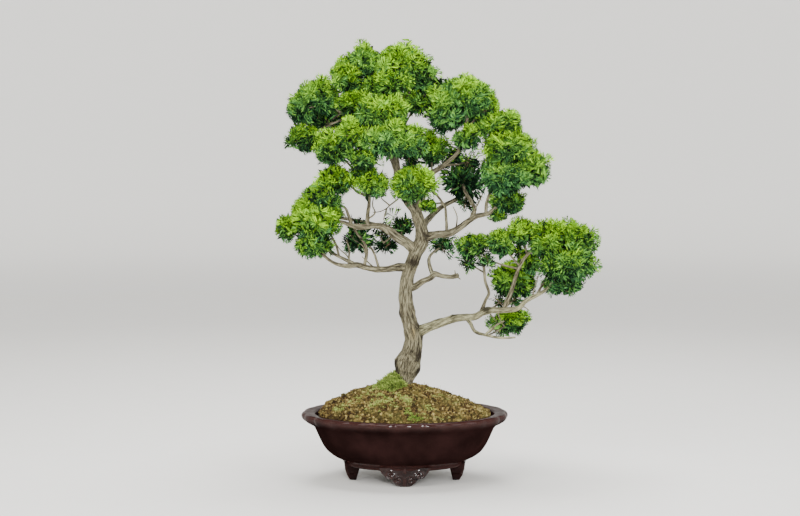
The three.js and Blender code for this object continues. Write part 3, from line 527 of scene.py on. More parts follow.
clay = Finish("clay_grains", Specular_IOR_Level=0.15)
grit = clay.noise(0.5, 3)
algae = clay.ramp(clay.noise(16, 4), 0.42, 0.68)
dry = clay.own("dry") + (grit - 0.5) * 0.4
clay_colour = clay.steps(
    dry,
    (0.0, (0.02, 0.011, 0.005)),
    (0.35, (0.075, 0.045, 0.015)),
    (0.7, (0.17, 0.115, 0.036)),
    (1.0, (0.42, 0.33, 0.12)),
)
clay_colour = clay.mix(algae * 0.45, clay_colour, (0.17, 0.16, 0.04))
clay.paint(Base_Color=clay_colour, Roughness=0.82 + grit * 0.15)
clay.bump(grit, 0.4)
soil = make_piece("soil_mound", points, faces, clay, "soil", smooth=False, dry=dryness)
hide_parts("soil")

# ---- Moss ----
# Living moss: a bright cushion grown against the left of the trunk, pale tufts scattered between the
# grains, thickest in front, and a few thin stalks. It roots in the soil and has no stiffness.

# Cushions: middle and radius
CUSHIONS = [
    [[-11, 0, 119], 8], [[-18, -3, 114.5], 8], [[-25, -3, 110], 7.5], [[-33, -2, 105], 7],
    [[-41, -4, 99.5], 6], [[-15, -10, 110], 8], [[-24, -12, 104], 7], [[-6, -9, 112], 5],
    [[-14, 10, 113], 8],
]
CUSHION_BLADES = 780  # on each
CUSHION_SHAPE = np.array([0.9, 0.85, 0.7])
CUSHION_LUMPS = 0.32
# Patches of loose tufts: middle across and deep, spread, how many, and how fresh
TUFT_PATCHES = [
    [-81, -39, 4, 13, 0.3], [-66, -36, 3, 9, 0.25], [-53, -26, 4, 6, 0.3], [-44, -17, 4, 6, 0.4],
    [-34, -49, 5, 13, 0.4], [-30, -30, 3, 8, 0.3], [-24, -43, 3, 8, 0.35], [-16, -37, 2, 5, 0.25],
    [4, -42, 3.5, 18, 0.3], [-1, -35, 3, 9, 0.4], [8, -69, 4, 16, 0.75], [4, -63, 3, 9, 0.6],
    [14, -73, 3, 10, 0.9], [26, -53, 4, 7, 0.3], [33, -70, 5, 7, 0.2], [-24, -58, 9, 9, 0.2],
    [-20, -15, 9, 8, 0.5], [0, 0, 52, 60, 0.12],
]
BLADES_PER_TUFT = 22
TUFT_SIZES, TUFT_HEIGHT = (0.5, 1.7), 0.25  # the height as a share of the size
STALKS, STALK_FRESHNESS = 420, 0.02
# Blades: shortest, longest, width, and how far they lean at random
CUSHION_BLADE, TUFT_BLADE, STALK_BLADE = (2, 6.5, 1.3, 0.5), (1.2, 3, 1.2, 0.3), (3, 8, 0.4, 0.3)


def kites(start, way, side, length, width, widest=0.55):
    """Folded four-cornered blades: their points, faces, and each point's share of the length."""
    rise = np.cross(way, side)
    middle = start + way * (length * widest)[:, None] - rise * (0.22 * width)[:, None]
    half = side * (width / 2)[:, None]
    points = np.stack([start, middle + half, start + way * length[:, None], middle - half], 1)
    first = 4 * np.arange(len(start))[:, None]
    faces = np.concatenate([first + [0, 1, 2], first + [0, 2, 3]])
    share = np.tile([0, widest, 1, widest], len(start))
    return points.reshape(-1, 3), [faces], share


def unit(vectors):
    """The same ways, each 1 long."""
    return vectors / np.maximum(np.linalg.norm(vectors, axis=-1, keepdims=True), 1e-9)


def blades_on(places, out, kind):
    """Blades of one kind that stand on places and lean out from the given ways."""
    shortest, longest, width, lean = kind
    lengths = dice.uniform(shortest, longest, len(places))
    way = unit(out + dice.normal(scale=lean, size=places.shape))
    side = unit(np.cross(way, dice.normal(size=places.shape)))
    return kites(places, way, side, lengths, np.full(len(places), width))


moss_parts = []
for middle, reach in CUSHIONS:
    out = unit(dice.normal(size=(CUSHION_BLADES, 3)) + [0, -0.2, 0.6])
    places = middle + out * reach * CUSHION_SHAPE * dice.uniform(0.8, 1, (CUSHION_BLADES, 1))
    lumpy = 1 + CUSHION_LUMPS * np.sin(out @ [8.1, 6.7, 7.3] + middle[0])
    places = middle + (places - middle) * lumpy[:, None]
    blades = blades_on(places, out, CUSHION_BLADE)
    moss_parts.append((*blades, np.repeat(dice.uniform(0.45, 1, CUSHION_BLADES), 4)))
tufts = []
for x, y, spread, count, freshness in TUFT_PATCHES:
    spots = dice.normal(scale=spread, size=(count, 2)) + [x, y]
    tufts.append(np.column_stack([spots, freshness + dice.uniform(-0.15, 0.2, count)]))
tufts = np.vstack(tufts)
tufts = tufts[np.hypot(tufts[:, 0] / SOIL_EDGE[0], tufts[:, 1] / SOIL_EDGE[1]) < 0.95]
freshness = np.clip(tufts[:, 2], 0.05, 1)
tufts = np.column_stack([tufts[:, :2], mound_height(*tufts[:, :2].T)])
middles = np.repeat(tufts, BLADES_PER_TUFT, 0)
spread = dice.normal(size=middles.shape)
spread *= np.repeat(dice.uniform(*TUFT_SIZES, len(tufts)), BLADES_PER_TUFT)[:, None]
spread[:, 2] = np.abs(spread[:, 2]) * TUFT_HEIGHT
blades = blades_on(middles + spread, unit(spread + [0, 0, 1.6]), TUFT_BLADE)
moss_parts.append((*blades, np.repeat(freshness, 4 * BLADES_PER_TUFT)))
stalks = scattered(STALKS, 0.9)
blades = blades_on(stalks, np.tile([0.0, 0, 1], (STALKS, 1)), STALK_BLADE)
moss_parts.append((*blades, np.full(4 * STALKS, STALK_FRESHNESS)))
points, faces, height, freshness = joined(moss_parts)

moss_green = Finish("moss", Specular_IOR_Level=0.2, Roughness=0.85)
fresh = moss_green.own("fresh")
body = moss_green.steps(
    fresh,
    (0.0, (0.3, 0.25, 0.1)),
    (0.12, (0.42, 0.46, 0.13)),
    (0.4, (0.5, 0.62, 0.15)),
    (0.75, (0.34, 0.48, 0.08)),
    (1.0, (0.15, 0.26, 0.03)),
)
# Blades are coloured darker towards their feet: painted shade down among the blades, nearly black in the
# fresh cushions
deep = moss_green.mix(moss_green.ramp(fresh, 0.3, 0.7), (0.2, 0.2, 0.06), (0.022, 0.045, 0.006))
tips = moss_green.ramp(moss_green.own("up"), 0.25, 0.9)
moss_green.paint(Base_Color=moss_green.mix(tips, deep, body))
make_piece("moss", points, faces, moss_green, "soil", up=height, fresh=freshness)

# ---- Wood ----
# The trunk and all its branches grew as one piece of wood. Grey-brown bark covers it in long fibrous
# ridges with fissures between them, coarse on the trunk and finer outwards, coloured darker down in the
# fissures as painted shade; the lowest right branch is greener with age, and a pruned stub ends in a dry
# cut.

# Branches: each a route of places across, deep and high with the radius there, that starts inside the
# branch it grew from
BRANCHES = {
    "trunk": [
        [-4, 6, 52, 12], [-2, 5, 100, 10], [0, 5, 115, 10.8], [4, 4, 136, 14.6], [9, 2, 154, 11.4],
        [11, 0, 170, 10.6], [6, -3, 189, 9.6], [2, -4, 207, 8.9], [1, -3, 223, 8.3], [3, 0, 239, 7.9],
        [7, 3, 255, 8], [14, 6, 273, 8.5], [21, 7, 288, 8.8], [20, 6, 301, 7.7], [14, 5, 322, 6.3],
    ],
    "leader": [
        [16, 5, 312, 6.2], [14, 5, 322, 6.2], [-1, 8, 344, 5.2], [-9, 10, 370, 4.4], [-11, 8, 397, 3.6],
        [-7, 4, 433, 2.8], [-4, 2, 467, 2], [-4, 0, 495, 1.2],
    ],
    "left_crown": [
        [-11, 8, 397, 3], [-35, 6, 415, 2.5], [-66, 6, 436, 2], [-88, 8, 450, 1.5], [-102, 9, 458, 1],
    ],
    "front_limb": [
        [-9, 10, 372, 3], [-10, -8, 388, 2.5], [-12, -30, 400, 2], [-14, -50, 408, 1.5], [-16, -64, 412, 1],
    ],
    "back_crown": [
        [-9, 10, 368, 3.4], [-15, 38, 384, 3], [-28, 60, 406, 2.4], [-45, 70, 426, 1.8],
        [-72, 70, 440, 1.4], [-97, 66, 445, 1],
    ],
    "right_leader": [
        [15, 4, 322, 5.4], [23, 6, 349, 4], [32, 4, 368, 3.2], [47, 0, 379, 2.7], [64, -4, 395, 2.4],
        [73, -6, 422, 2.2], [75, -5, 458, 1.3],
    ],
    "low_right": [
        [9, 0, 173, 6.6], [19, -1, 178, 6.2], [43, -5, 188, 5.4], [64, -8, 194, 4.6], [85, -10, 196, 4],
        [98, -12, 203, 4], [137, -16, 207, 3], [146, -17, 216, 2.7], [171, -14, 230, 2.1],
        [190, -12, 255, 1.3],
    ],
    "low_right_twig": [
        [74, -9, 195, 2.4], [79, -12, 189, 2.2], [85, -16, 179, 2], [98, -20, 175, 1.7],
        [117, -24, 172, 1.3], [133, -28, 173, 0.9],
    ],
    "low_right_fork": [
        [97, -20, 175, 1.5], [110, -22, 187, 1.2], [120, -20, 192, 0.9],
    ],
    "far_stem_a": [
        [92, -11, 201, 2.2], [98, -8, 216, 1.8], [102, -4, 224, 1.7], [98, 2, 238, 1.6], [95, 8, 259, 1.5],
        [84, 10, 275, 1.1],
    ],
    "far_stem_b": [
        [120, -14, 206, 2.8], [129, -10, 227, 2.5], [135, -8, 247, 2.3], [141, -8, 261, 2.1],
        [149, -8, 272, 1.7], [168, -9, 284, 1.2],
    ],
    "left_low": [
        [6, 3, 255, 5], [-6, 1, 255, 4.2], [-30, -6, 253, 3.6], [-47, -10, 256, 3.5], [-58, -12, 259, 3.3],
        [-68, -14, 258, 2.8], [-87, -17, 263, 2.1], [-100, -18, 275, 1.6], [-107, -20, 292, 1.1],
    ],
    "left_low_b": [
        [-58, -12, 259, 2.4], [-77, -10, 268, 1.9], [-90, -8, 275, 1.6], [-104, -9, 286, 1.1],
    ],
    "left_twig_a": [
        [-49, -10, 257, 1.9], [-46, -6, 274, 1.7], [-48, -2, 283, 1.5], [-57, 4, 295, 1.3],
        [-64, 8, 305, 1],
    ],
    "left_twig_b": [
        [-31, -6, 254, 1.5], [-37, 2, 272, 1.3], [-44, 10, 281, 1.1], [-54, 14, 286, 0.9],
    ],
    "left_twig_c": [
        [-68, -13, 259, 1.3], [-67, -10, 277, 1.1], [-70, -4, 289, 0.9],
    ],
    "left_twig_d": [
        [-79, -10, 269, 1.5], [-83, -14, 284, 1.3], [-90, -16, 299, 1.2], [-92, -16, 323, 1],
    ],
    "left_high": [
        [13, 6, 273, 7], [6, 6, 281, 5.8], [-12, 8, 293, 5.2], [-21, 9, 301, 4.8], [-31, 8, 305, 4],
        [-59, 0, 305, 3.2], [-77, -6, 311, 2], [-98, -14, 312, 1.3],
    ],
    "left_high_twig": [
        [-65, -2, 308, 2], [-68, -4, 319, 1.8], [-72, -6, 328, 1.6], [-80, -9, 332, 1.4],
        [-95, -13, 340, 1],
    ],
    "left_up": [
        [-44, 4, 304, 2.6], [-45, 2, 314, 2.4], [-43, -4, 340, 2], [-47, -12, 352, 1.8],
        [-53, -24, 363, 1.6], [-65, -38, 380, 1.3], [-78, -49, 394, 1],
    ],
    "left_up_twig": [
        [-44, -4, 342, 1.4], [-57, -6, 347, 1.3], [-66, -8, 355, 1.1], [-77, -10, 360, 0.9],
    ],
    "right_mid": [
        [20, 7, 290, 6.4], [40, 2, 295, 4.6], [54, -2, 297, 4.2], [64, -4, 302, 3.8], [75, -5, 310, 3.4],
        [85, -6, 317, 3], [104, -8, 323, 2.3], [115, -10, 338, 1.9], [120, -20, 361, 1.3],
    ],
    "right_mid_fork": [
        [80, -5, 314, 2.8], [85, 0, 326, 2.5], [82, 6, 332, 2.3], [74, 22, 346, 1.9], [71, 43, 356, 1.3],
    ],
    "right_mid_twig": [
        [51, -1, 297, 1.8], [50, -4, 317, 1.6], [49, -6, 328, 1.5], [43, -12, 338, 1.4],
        [34, -26, 348, 1.2], [14, -48, 356, 0.9],
    ],
    "right_up_twig": [
        [98, -7, 321, 2], [99, -8, 334, 1.9], [107, -12, 355, 1.7], [117, -18, 374, 1.5],
        [120, -20, 396, 1.1],
    ],
    "stub": [
        [4, -1, 231, 5], [12, -3, 232, 4.2], [22, -8, 239, 3.6], [32, -12, 244, 3.4], [36, -14, 248, 3.6],
        [46, -18, 246, 2.7], [56, -22, 246, 2.6], [64, -25, 248, 3],
    ],
    "stub_twig": [
        [34, -13, 247, 2.4], [30, -6, 258, 2.2], [30, 8, 267, 1.8], [38, 22, 274, 1.5], [45, 33, 277, 1],
    ],
    "back_left": [
        [15, 8, 277, 5.2], [0, 26, 287, 4], [-18, 44, 298, 3.2], [-50, 50, 307, 2.4], [-80, 53, 312, 1.8],
        [-106, 55, 316, 1.2],
    ],
    "back_right": [
        [19, 8, 298, 5], [29, 28, 312, 3.8], [46, 46, 326, 3], [71, 56, 339, 2.4], [100, 57, 358, 1.8],
        [124, 58, 375, 1.2],
    ],
}
# How much brighter a clump's leaves are coloured than others: painted light for clumps in the light,
# painted shade for clumps in shade
LIGHT, MIDDLE, SHADE = 0.08, 0.0, -0.16
# Clumps of foliage: middle, reach across, reach up, the branch and the place along it that a twig feeds
# the clump from, and how bright it is painted, for the light or shade it stands in. A clump at 1 sits on
# the branch's own end.
CLUMPS = {
    "top_a": ([-4, 0, 502], 25, 22, ("leader", 1), LIGHT),
    "top_b": ([16, 5, 489], 21, 22, ("leader", 0.76), LIGHT),
    "top_c": ([-48, 5, 501], 23, 22, ("leader", 0.72), LIGHT),
    "top_d": ([-67, 0, 485], 22, 21, ("left_crown", 0.3), LIGHT),
    "top_e": ([-22, -15, 479], 24, 19, ("leader", 0.74), LIGHT),
    "crown_back": ([15, 20, 457], 23, 17, ("leader", 0.62), MIDDLE),
    "left_a": ([-106, 10, 461], 24, 21, ("left_crown", 1), LIGHT),
    "left_b": ([-125, 0, 446], 17, 19, ("left_crown", 0.75), MIDDLE),
    "left_c": ([-120, 10, 412], 19, 18, ("left_crown", 0.5), MIDDLE),
    "left_d": ([-63, -20, 453], 18, 17, ("left_crown", 0.35), MIDDLE),
    "front_a": ([-24, -60, 444], 28, 20, ("front_limb", 0.6), LIGHT),
    "front_b": ([-16, -70, 412], 31, 23, ("front_limb", 1), LIGHT),
    "front_c": ([-62, -60, 416], 20, 19, ("front_limb", 0.5), LIGHT),
    "front_d": ([-85, -52, 399], 21, 19, ("left_up", 1), MIDDLE),
    "front_e": ([-50, -68, 392], 21, 15, ("front_limb", 0.65), MIDDLE),
    "right_a": ([74, -5, 463], 28, 23, ("right_leader", 1), LIGHT),
    "right_b": ([52, -10, 443], 23, 24, ("right_leader", 0.74), MIDDLE),
    "right_c": ([97, 0, 447], 17, 18, ("right_leader", 0.84), LIGHT),
    "right_d": ([113, -10, 429], 24, 17, ("right_leader", 0.76), LIGHT),
    "right_e": ([120, -20, 402], 26, 22, ("right_up_twig", 1), LIGHT),
    "right_f": ([148, -10, 374], 24, 23, ("right_mid", 0.88), LIGHT),
    "right_g": ([119, -25, 367], 24, 22, ("right_mid", 1), MIDDLE),
    "right_h": ([125, -5, 337], 21, 17, ("right_mid", 0.8), MIDDLE),
    "mid_a": ([33, 10, 397], 19, 21, ("right_leader", 0.34), MIDDLE),
    "mid_b": ([58, 28, 388], 16, 16, ("right_leader", 0.5), SHADE),
    "hang": ([71, 50, 359], 25, 27, ("right_mid_fork", 1), SHADE),
    "low_a": ([-37, -44, 358], 18, 17, ("left_up", 0.5), LIGHT),
    "low_b": ([9, -54, 358], 24, 20, ("right_mid_twig", 1), LIGHT),
    "left_e": ([-84, -10, 362], 21, 17, ("left_up_twig", 1), LIGHT),
    "left_f": ([-101, -15, 343], 20, 17, ("left_high_twig", 1), LIGHT),
    "left_g": ([-108, -20, 314], 26, 23, ("left_high", 1), LIGHT),
    "left_h": ([-140, -10, 304], 18, 16, ("left_high", 0.95), LIGHT),
    "left_i": ([-110, -15, 285], 23, 17, ("left_low_b", 1), MIDDLE),
    "inner_a": ([-58, 15, 287], 21, 12, ("left_twig_b", 1), SHADE),
    "inner_b": ([-23, 50, 281], 15, 15, ("back_left", 0.35), SHADE),
    "inner_c": ([-3, 45, 303], 17, 18, ("back_left", 0.25), SHADE),
    "inner_d": ([46, 35, 282], 15, 13, ("stub_twig", 1), SHADE),
    "far_a": ([82, 10, 280], 18, 17, ("far_stem_a", 1), MIDDLE),
    "far_b": ([116, -15, 286], 19, 17, ("far_stem_b", 0.55), MIDDLE),
    "far_c": ([143, -5, 297], 18, 17, ("far_stem_b", 0.78), LIGHT),
    "far_d": ([173, -10, 290], 22, 20, ("far_stem_b", 1), LIGHT),
    "far_e": ([203, 0, 288], 25, 21, ("low_right", 0.93), LIGHT),
    "far_f": ([195, -15, 261], 29, 20, ("low_right", 1), MIDDLE),
    "far_g": ([191, 0, 237], 23, 13, ("low_right", 0.88), MIDDLE),
    "under_a": ([134, 32, 236], 27, 21, ("low_right", 0.62), MIDDLE),
    "under_b": ([129, 25, 186], 20, 16, ("low_right_twig", 0.62), MIDDLE),
    "back_a": ([-20, 56, 489], 27, 21, ("leader", 0.68), LIGHT),
    "back_b": ([-102, 66, 445], 25, 21, ("back_crown", 1), LIGHT),
    "back_c": ([-48, 74, 430], 30, 24, ("back_crown", 0.66), MIDDLE),
    "back_d": ([81, 68, 450], 27, 25, ("right_leader", 0.72), LIGHT),
    "back_e": ([128, 58, 378], 27, 25, ("back_right", 1), LIGHT),
    "back_f": ([-110, 56, 317], 26, 22, ("back_left", 1), MIDDLE),
    "back_g": ([190, 50, 274], 27, 21, ("low_right", 0.84), LIGHT),
    "back_h": ([-3, 98, 403], 26, 21, ("back_crown", 0.4), MIDDLE),
    "back_i": ([4, 80, 358], 21, 16, ("back_crown", 0.12), SHADE),
}
# Smaller tufts that grow beside a clump, given as the clumps are
SIDE_TUFTS = {
    "right_b": [
        ([74, -22, 411], 15, 14, ("right_leader", 0.72), MIDDLE),
        ([84, 8, 424], 12, 12, ("right_leader", 0.76), SHADE),
    ],
    "top_b": [([38, 14, 477], 12, 12, ("leader", 0.74), SHADE)],
    "top_c": [([-50, 24, 468], 14, 13, ("leader", 0.7), SHADE)],
    "left_c": [
        ([-92, 28, 430], 15, 13, ("left_crown", 0.6), SHADE),
        ([-72, 26, 436], 13, 12, ("left_crown", 0.5), SHADE),
    ],
    "left_b": [([-110, 28, 440], 14, 14, ("left_crown", 0.8), SHADE)],
    "front_b": [([7, -8, 383], 12, 8, ("leader", 0.35), SHADE)],
    "low_a": [
        ([-48, -44, 376], 15, 11, ("left_up", 0.7), MIDDLE),
        ([-64, -36, 364], 11, 9, ("left_up", 0.72), MIDDLE),
    ],
    "low_b": [([28, -24, 332], 10, 7, ("right_mid_twig", 0.5), MIDDLE)],
    "hang": [([74, 44, 332], 10, 9, ("right_mid_fork", 0.7), SHADE)],
    "right_h": [([112, -5, 320], 10, 8, ("right_mid", 0.7), MIDDLE)],
    "inner_a": [([-58, 15, 303], 15, 7, ("left_twig_b", 0.8), SHADE)],
    "inner_b": [([-27, 46, 296], 11, 8, ("back_left", 0.4), SHADE)],
    "mid_b": [([79, 22, 383], 11, 14, ("right_leader", 0.5), SHADE)],
    "far_a": [
        ([76, 8, 262], 12, 8, ("far_stem_a", 0.7), SHADE),
        ([100, 0, 265], 12, 7, ("far_stem_b", 0.5), SHADE),
    ],
    "far_c": [([140, 10, 275], 11, 10, ("far_stem_b", 0.6), SHADE)],
    "under_a": [
        ([150, 5, 262], 14, 14, ("far_stem_b", 0.5), MIDDLE),
        ([135, 28, 213], 10, 8, ("low_right", 0.6), SHADE),
        ([118, 28, 211], 9, 7, ("low_right", 0.56), SHADE),
    ],
}
# Bare twigs, from their tips inwards
FINE_TWIGS = [
    [[-65.4, -8, 354.3], [-57.2, -6, 346], [-45.9, -3, 341.8]],
    [[-75.8, -4, 323.3], [-69.7, -2, 315], [-65.6, 0, 309.7]],
    [[-38.9, 0, 322.1], [-29.5, -2, 323.2], [-21.4, 0, 327.3], [-18.3, 2, 330.2], [-8, 5, 338]],
    [[-25.5, 4, 312.5], [-24.5, 0, 318], [-21.4, 0, 327.3]],
    [[-24.4, -6, 346], [-28.5, -4, 340.9], [-18.3, 2, 330.2]],
    [[-37.7, -3, 340.8], [-38.9, 0, 330.3], [-36, 2, 321.1], [-44.5, 3, 313.8]],
    [[-83.8, -14, 287.1], [-77.7, -12, 277.7], [-70.5, -10, 271.3], [-64, -12, 262]],
    [[-52, 4, 268], [-45, 0, 262], [-38, -6, 256]],
    [[-70, 12, 296], [-61, 8, 288], [-50, 2, 280], [-47, -2, 270]],
    [[-30, 22, 292], [-26, 16, 285], [-16, 10, 292]],
    [[14.8, -8, 325.4], [23.3, -4, 313], [24, 2, 302]],
    [[58, -14, 330], [63, -10, 318], [62, -4, 303]],
    [[96, -12, 352], [91, -8, 338], [84, -4, 325]],
    [[111.5, -16, 190.4], [106, -14, 197], [100, -13, 203]],
    [[121.1, -18, 184.5], [116, -17, 192], [112, -14, 203]],
    [[114.9, -24, 177.7], [108, -21, 182], [102, -20, 178]],
    [[150, -22, 205], [144, -19, 209], [138, -16, 208]],
    [[162, -8, 246], [158, -12, 236], [154, -16, 221]],
    [[60, -29, 254], [61, -25, 248]],
    [[67, -26, 243], [62, -25, 247]],
]
TWIG_RADII = (0.5, 1)
TWIG_END = 0.3  # how far from a clump's middle its twig ends, as a share of its reach
TWIG_CLIMB, TWIG_FALL = -0.06, 0.1  # how much a climbing and a falling twig lift halfway
TWIG_TIP_RADIUS, TWIG_GROWTH = 0.9, 0.011  # at the tip, and what each millimetre of length adds
RING_STEP = 2.1  # between rings along the trunk
THICKEST, TRUNK_SIDES = 14.6, 80
BARK_DEPTH, BARK_TWIST = 2.5, 0.0012
LUMP_HEIGHT, KNOB_HEIGHT = 0.2, 0.16  # as shares of the radius
BURR_SHADE = 0.9
# How far the bark's marks run along a stem
LUMP_RUN, KNOB_RUN, RIDGE_RUN, FIBRE_RUN, FLAKE_RUN = 22, 9, 16, 6, 3.2
# How many of them lie round a stem, for each of its sides
RIDGE_CROWD, FIBRE_CROWD, FLAKE_CROWD = 0.26, 0.45, 0.3
# Knobs and burrs: middle, radius, height
KNOBS = [
    [[-11, 0, 138], 6, 3.4], [[-9, -4, 128], 5, 2], [[16, -6, 150], 6, 1.6], [[17, 0, 127], 6, 1.8],
    [[14, -5, 181], 6, 1.8], [[20, -1, 172], 5, 1.4], [[-4, -6, 200], 5, 1.3], [[98, -15, 205], 5, 1.6],
    [[60, -9, 196], 4, 0.8], [[-8, 2, 256], 5, 1.4], [[12, -3, 262], 6, 1.5], [[26, 2, 292], 6, 1.2],
    [[46, -10, 224], 3, 1.2],
]
# A stained patch: its middle and reach
OCHRE_AT, OCHRE_REACH = np.array([10, -12, 177]), np.array([4.5, 12, 9])


def twig_route(at, across, branch, place):
    """The twig that feeds a clump: it leaves its branch, lifts, and ends inside the clump."""
    route = np.array(BRANCHES[branch], float)
    fine = smooth_route(route, 40)
    start = fine[round(place * (len(fine) - 1))][:3]
    middle = np.array(at, float)
    reach = np.linalg.norm(middle - start)
    end = middle + (start - middle) * TWIG_END * across / reach
    bend = start + (end - start) * 0.55
    bend[2] += (TWIG_CLIMB if start[2] < end[2] else TWIG_FALL) * reach
    parent = route[0][3] + (route[-1][3] - route[0][3]) * place
    thick = min(parent * 0.8, TWIG_TIP_RADIUS + TWIG_GROWTH * reach)
    t = np.linspace(0, 1, 7)[:, None]
    line = (1 - t) ** 2 * start + 2 * t * (1 - t) * bend + t**2 * end
    return np.column_stack([line, thick + (TWIG_TIP_RADIUS - thick) * t])


def woven_noise(around, along, cells, seed):
    """Smooth noise between 0 and 1 that closes round the stem and runs on along it."""
    grid = np.random.default_rng(seed).random((int(along.max()) + 3, cells))
    x, y = (around % 1) * cells, along
    i, j = np.floor(x).astype(int), np.floor(y).astype(int)
    fx, fy = x - i, y - j
    fx, fy = fx * fx * (3 - 2 * fx), fy * fy * (3 - 2 * fy)
    low = grid[j, i % cells] * (1 - fx) + grid[j, (i + 1) % cells] * fx
    high = grid[j + 1, i % cells] * (1 - fx) + grid[j + 1, (i + 1) % cells] * fx
    return low * (1 - fy) + high * fy


def bark_stem(route, seed):
    """A stem with bark along a route: points, faces, each point's relief, and its place along the bark."""
    rough = np.asarray(route, float)
    fine = smooth_route(rough, 24)
    run = np.concatenate([[0], np.cumsum(np.linalg.norm(np.diff(fine[:, :3], axis=0), axis=1))])
    thickest = rough[:, 3].max()
    step = max(RING_STEP * (0.45 + 0.055 * thickest), 0.9)
    at = np.linspace(0, run[-1], max(int(run[-1] / step), 3) + 1)
    centre = np.column_stack([np.interp(at, run, fine[:, k]) for k in range(3)])
    radius = np.interp(at, run, fine[:, 3])
    sides = int(np.clip(TRUNK_SIDES * (thickest / THICKEST) ** 0.8, 7, TRUNK_SIDES))
    along = unit(np.gradient(centre, axis=0))
    across = np.empty_like(centre)
    across[0] = unit(np.cross(along[0], [0.3, 1, 0.2]))
    for k in range(1, len(centre)):
        across[k] = unit(across[k - 1] - along[k] * (across[k - 1] @ along[k]))
    side = np.cross(along, across)
    u = np.tile(np.arange(sides) / sides, (len(at), 1))
    s = np.repeat(at[:, None], sides, 1)
    twist = u + s * BARK_TWIST
    big = radius[:, None] / 10
    lumps = woven_noise(twist, s / LUMP_RUN, 4, seed) - 0.5
    knobs = woven_noise(twist, s / KNOB_RUN, 7, seed + 1) - 0.5
    ridge_count, fibre_count, flake_count = [
        max(fewest, int(sides * crowd))
        for fewest, crowd in ((5, RIDGE_CROWD), (7, FIBRE_CROWD), (7, FLAKE_CROWD))
    ]
    ridges = 1 - np.abs(2 * woven_noise(twist + knobs * 0.03, s / RIDGE_RUN, ridge_count, seed + 2) - 1)
    fibres = 1 - np.abs(2 * woven_noise(twist, s / FIBRE_RUN, fibre_count, seed + 3) - 1)
    flakes = woven_noise(twist, s / FLAKE_RUN, flake_count, seed + 4)
    relief = 0.5 * ridges + 0.3 * fibres + 0.2 * flakes
    grown = radius[:, None] * (1 + LUMP_HEIGHT * lumps + KNOB_HEIGHT * knobs)
    grown += (relief - 0.58) * BARK_DEPTH * big**0.75
    angle = 2 * pi * u
    ring = across[:, None] * np.cos(angle)[..., None] + side[:, None] * np.sin(angle)[..., None]
    for middle, reach, height in KNOBS:
        near = np.sum((centre[:, None] + ring * radius[:, None, None] - middle) ** 2, 2) / reach**2
        burr = np.exp(-near) * (0.7 + 0.6 * flakes)
        grown += height * burr
        relief -= BURR_SHADE * burr
    points = centre[:, None] + ring * grown[..., None]
    tip = len(at) * sides
    points = np.vstack([points.reshape(-1, 3), centre[:1], centre[-1:] + along[-1:] * radius[-1] * 0.5])
    i = np.arange(sides)
    caps = np.vstack(
        [
            np.stack([np.full(sides, tip), (i + 1) % sides, i], 1),
            np.stack([np.full(sides, tip + 1), tip - sides + i, tip - sides + (i + 1) % sides], 1),
        ]
    )
    flow = np.stack([radius[:, None] * np.cos(angle), radius[:, None] * np.sin(angle), s], 2).reshape(-1, 3)
    flow = np.vstack([flow, flow[:1], flow[-1:]]) / 1000 + seed
    return points, [tube_faces(len(at), sides), caps], np.concatenate([relief.ravel(), [0.3, 0.3]]), flow


stems = [*BRANCHES.items()]
fed = [*CLUMPS.values(), *sum(SIDE_TUFTS.values(), [])]
stems += [("twig", twig_route(at, across, *root)) for at, across, _, root, _ in fed if root[1] < 1]
stems += [("twig", np.column_stack([line, np.linspace(*TWIG_RADII, len(line))])) for line in FINE_TWIGS]
wood_parts = []
for order, (name, route) in enumerate(stems):
    stem = bark_stem(route, 40 + 7 * order)
    wood_parts.append((*stem, np.full(len(stem[0]), float(name.startswith("low_right")))))
points, faces, wood_relief, wood_flow, wood_green = joined(wood_parts)

bark = Finish("bark", Specular_IOR_Level=0.15)
relief = bark.own("relief")
mossy = bark.own("mossy")
flow = bark.own("bark_flow", "Vector")
streak = bark.noise(1.2, 4, (1, 1, 0.12), flow)
fibre = bark.noise(0.55, 3, (1, 1, 0.2), flow)
crack = bark.ramp(bark.noise(0.8, 2, (1, 1, 0.08), flow), 0.38, 0.46)
patch = bark.noise(14, 3)
# The colour follows the bark's relief: paler on the ridges, darker on the burrs, and darker down in the
# fissures, which is painted shade there
level = relief * 0.65 + 0.12 + (streak - 0.5) * 1.5 + (fibre - 0.5) * 0.8
pale = bark.mix(bark.ramp(patch, 0.35, 0.65), (0.285, 0.255, 0.155), (0.345, 0.33, 0.215))
pale = bark.mix(mossy * 0.7, pale, (0.44, 0.43, 0.25))
pale = bark.mix(bark.own("ochre"), pale, (0.36, 0.25, 0.08))
middle = bark.mix(mossy * 0.7, (0.15, 0.134, 0.084), (0.25, 0.24, 0.137))
dark = bark.mix(mossy * 0.5, (0.024, 0.019, 0.012), (0.045, 0.042, 0.024))
tone = bark.ramp(level, 0.12, 0.55) * (crack * 0.7 + 0.3)
bark_colour = bark.mix(bark.ramp(level, 0.45, 0.95) * crack, bark.mix(tone, dark, middle), pale)
bark.paint(Base_Color=bark_colour, Roughness=0.95 - tone * 0.12)
bark.bump(level + crack * 0.5, 0.8, 0.9)
wood = make_piece(
    "tree_wood",
    points,
    faces,
    bark,
    "bark",
    relief=wood_relief,
    mossy=wood_green,
    bark_flow=wood_flow,
    ochre=np.exp(-np.sum(((points - OCHRE_AT) / OCHRE_REACH) ** 2, 1)),
)
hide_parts("wood")

# ---- Foliage ----
# Each clump is a crowd of small domed heads, and each head a rosette of flat fans of scale leaves that
# overlap like shingles, on thin brown twiglets. Fresh growth, at the fans' rims and in the fresher clumps,
# is yellow-green and older leaves are bluish. Light is painted on as well: the tops of heads and clumps are
# coloured brighter and yellower as painted sunlight, and painted shade darkens the creases, the lower
# layer, the clumps in shade and the leaves inside the clump, nearly black.

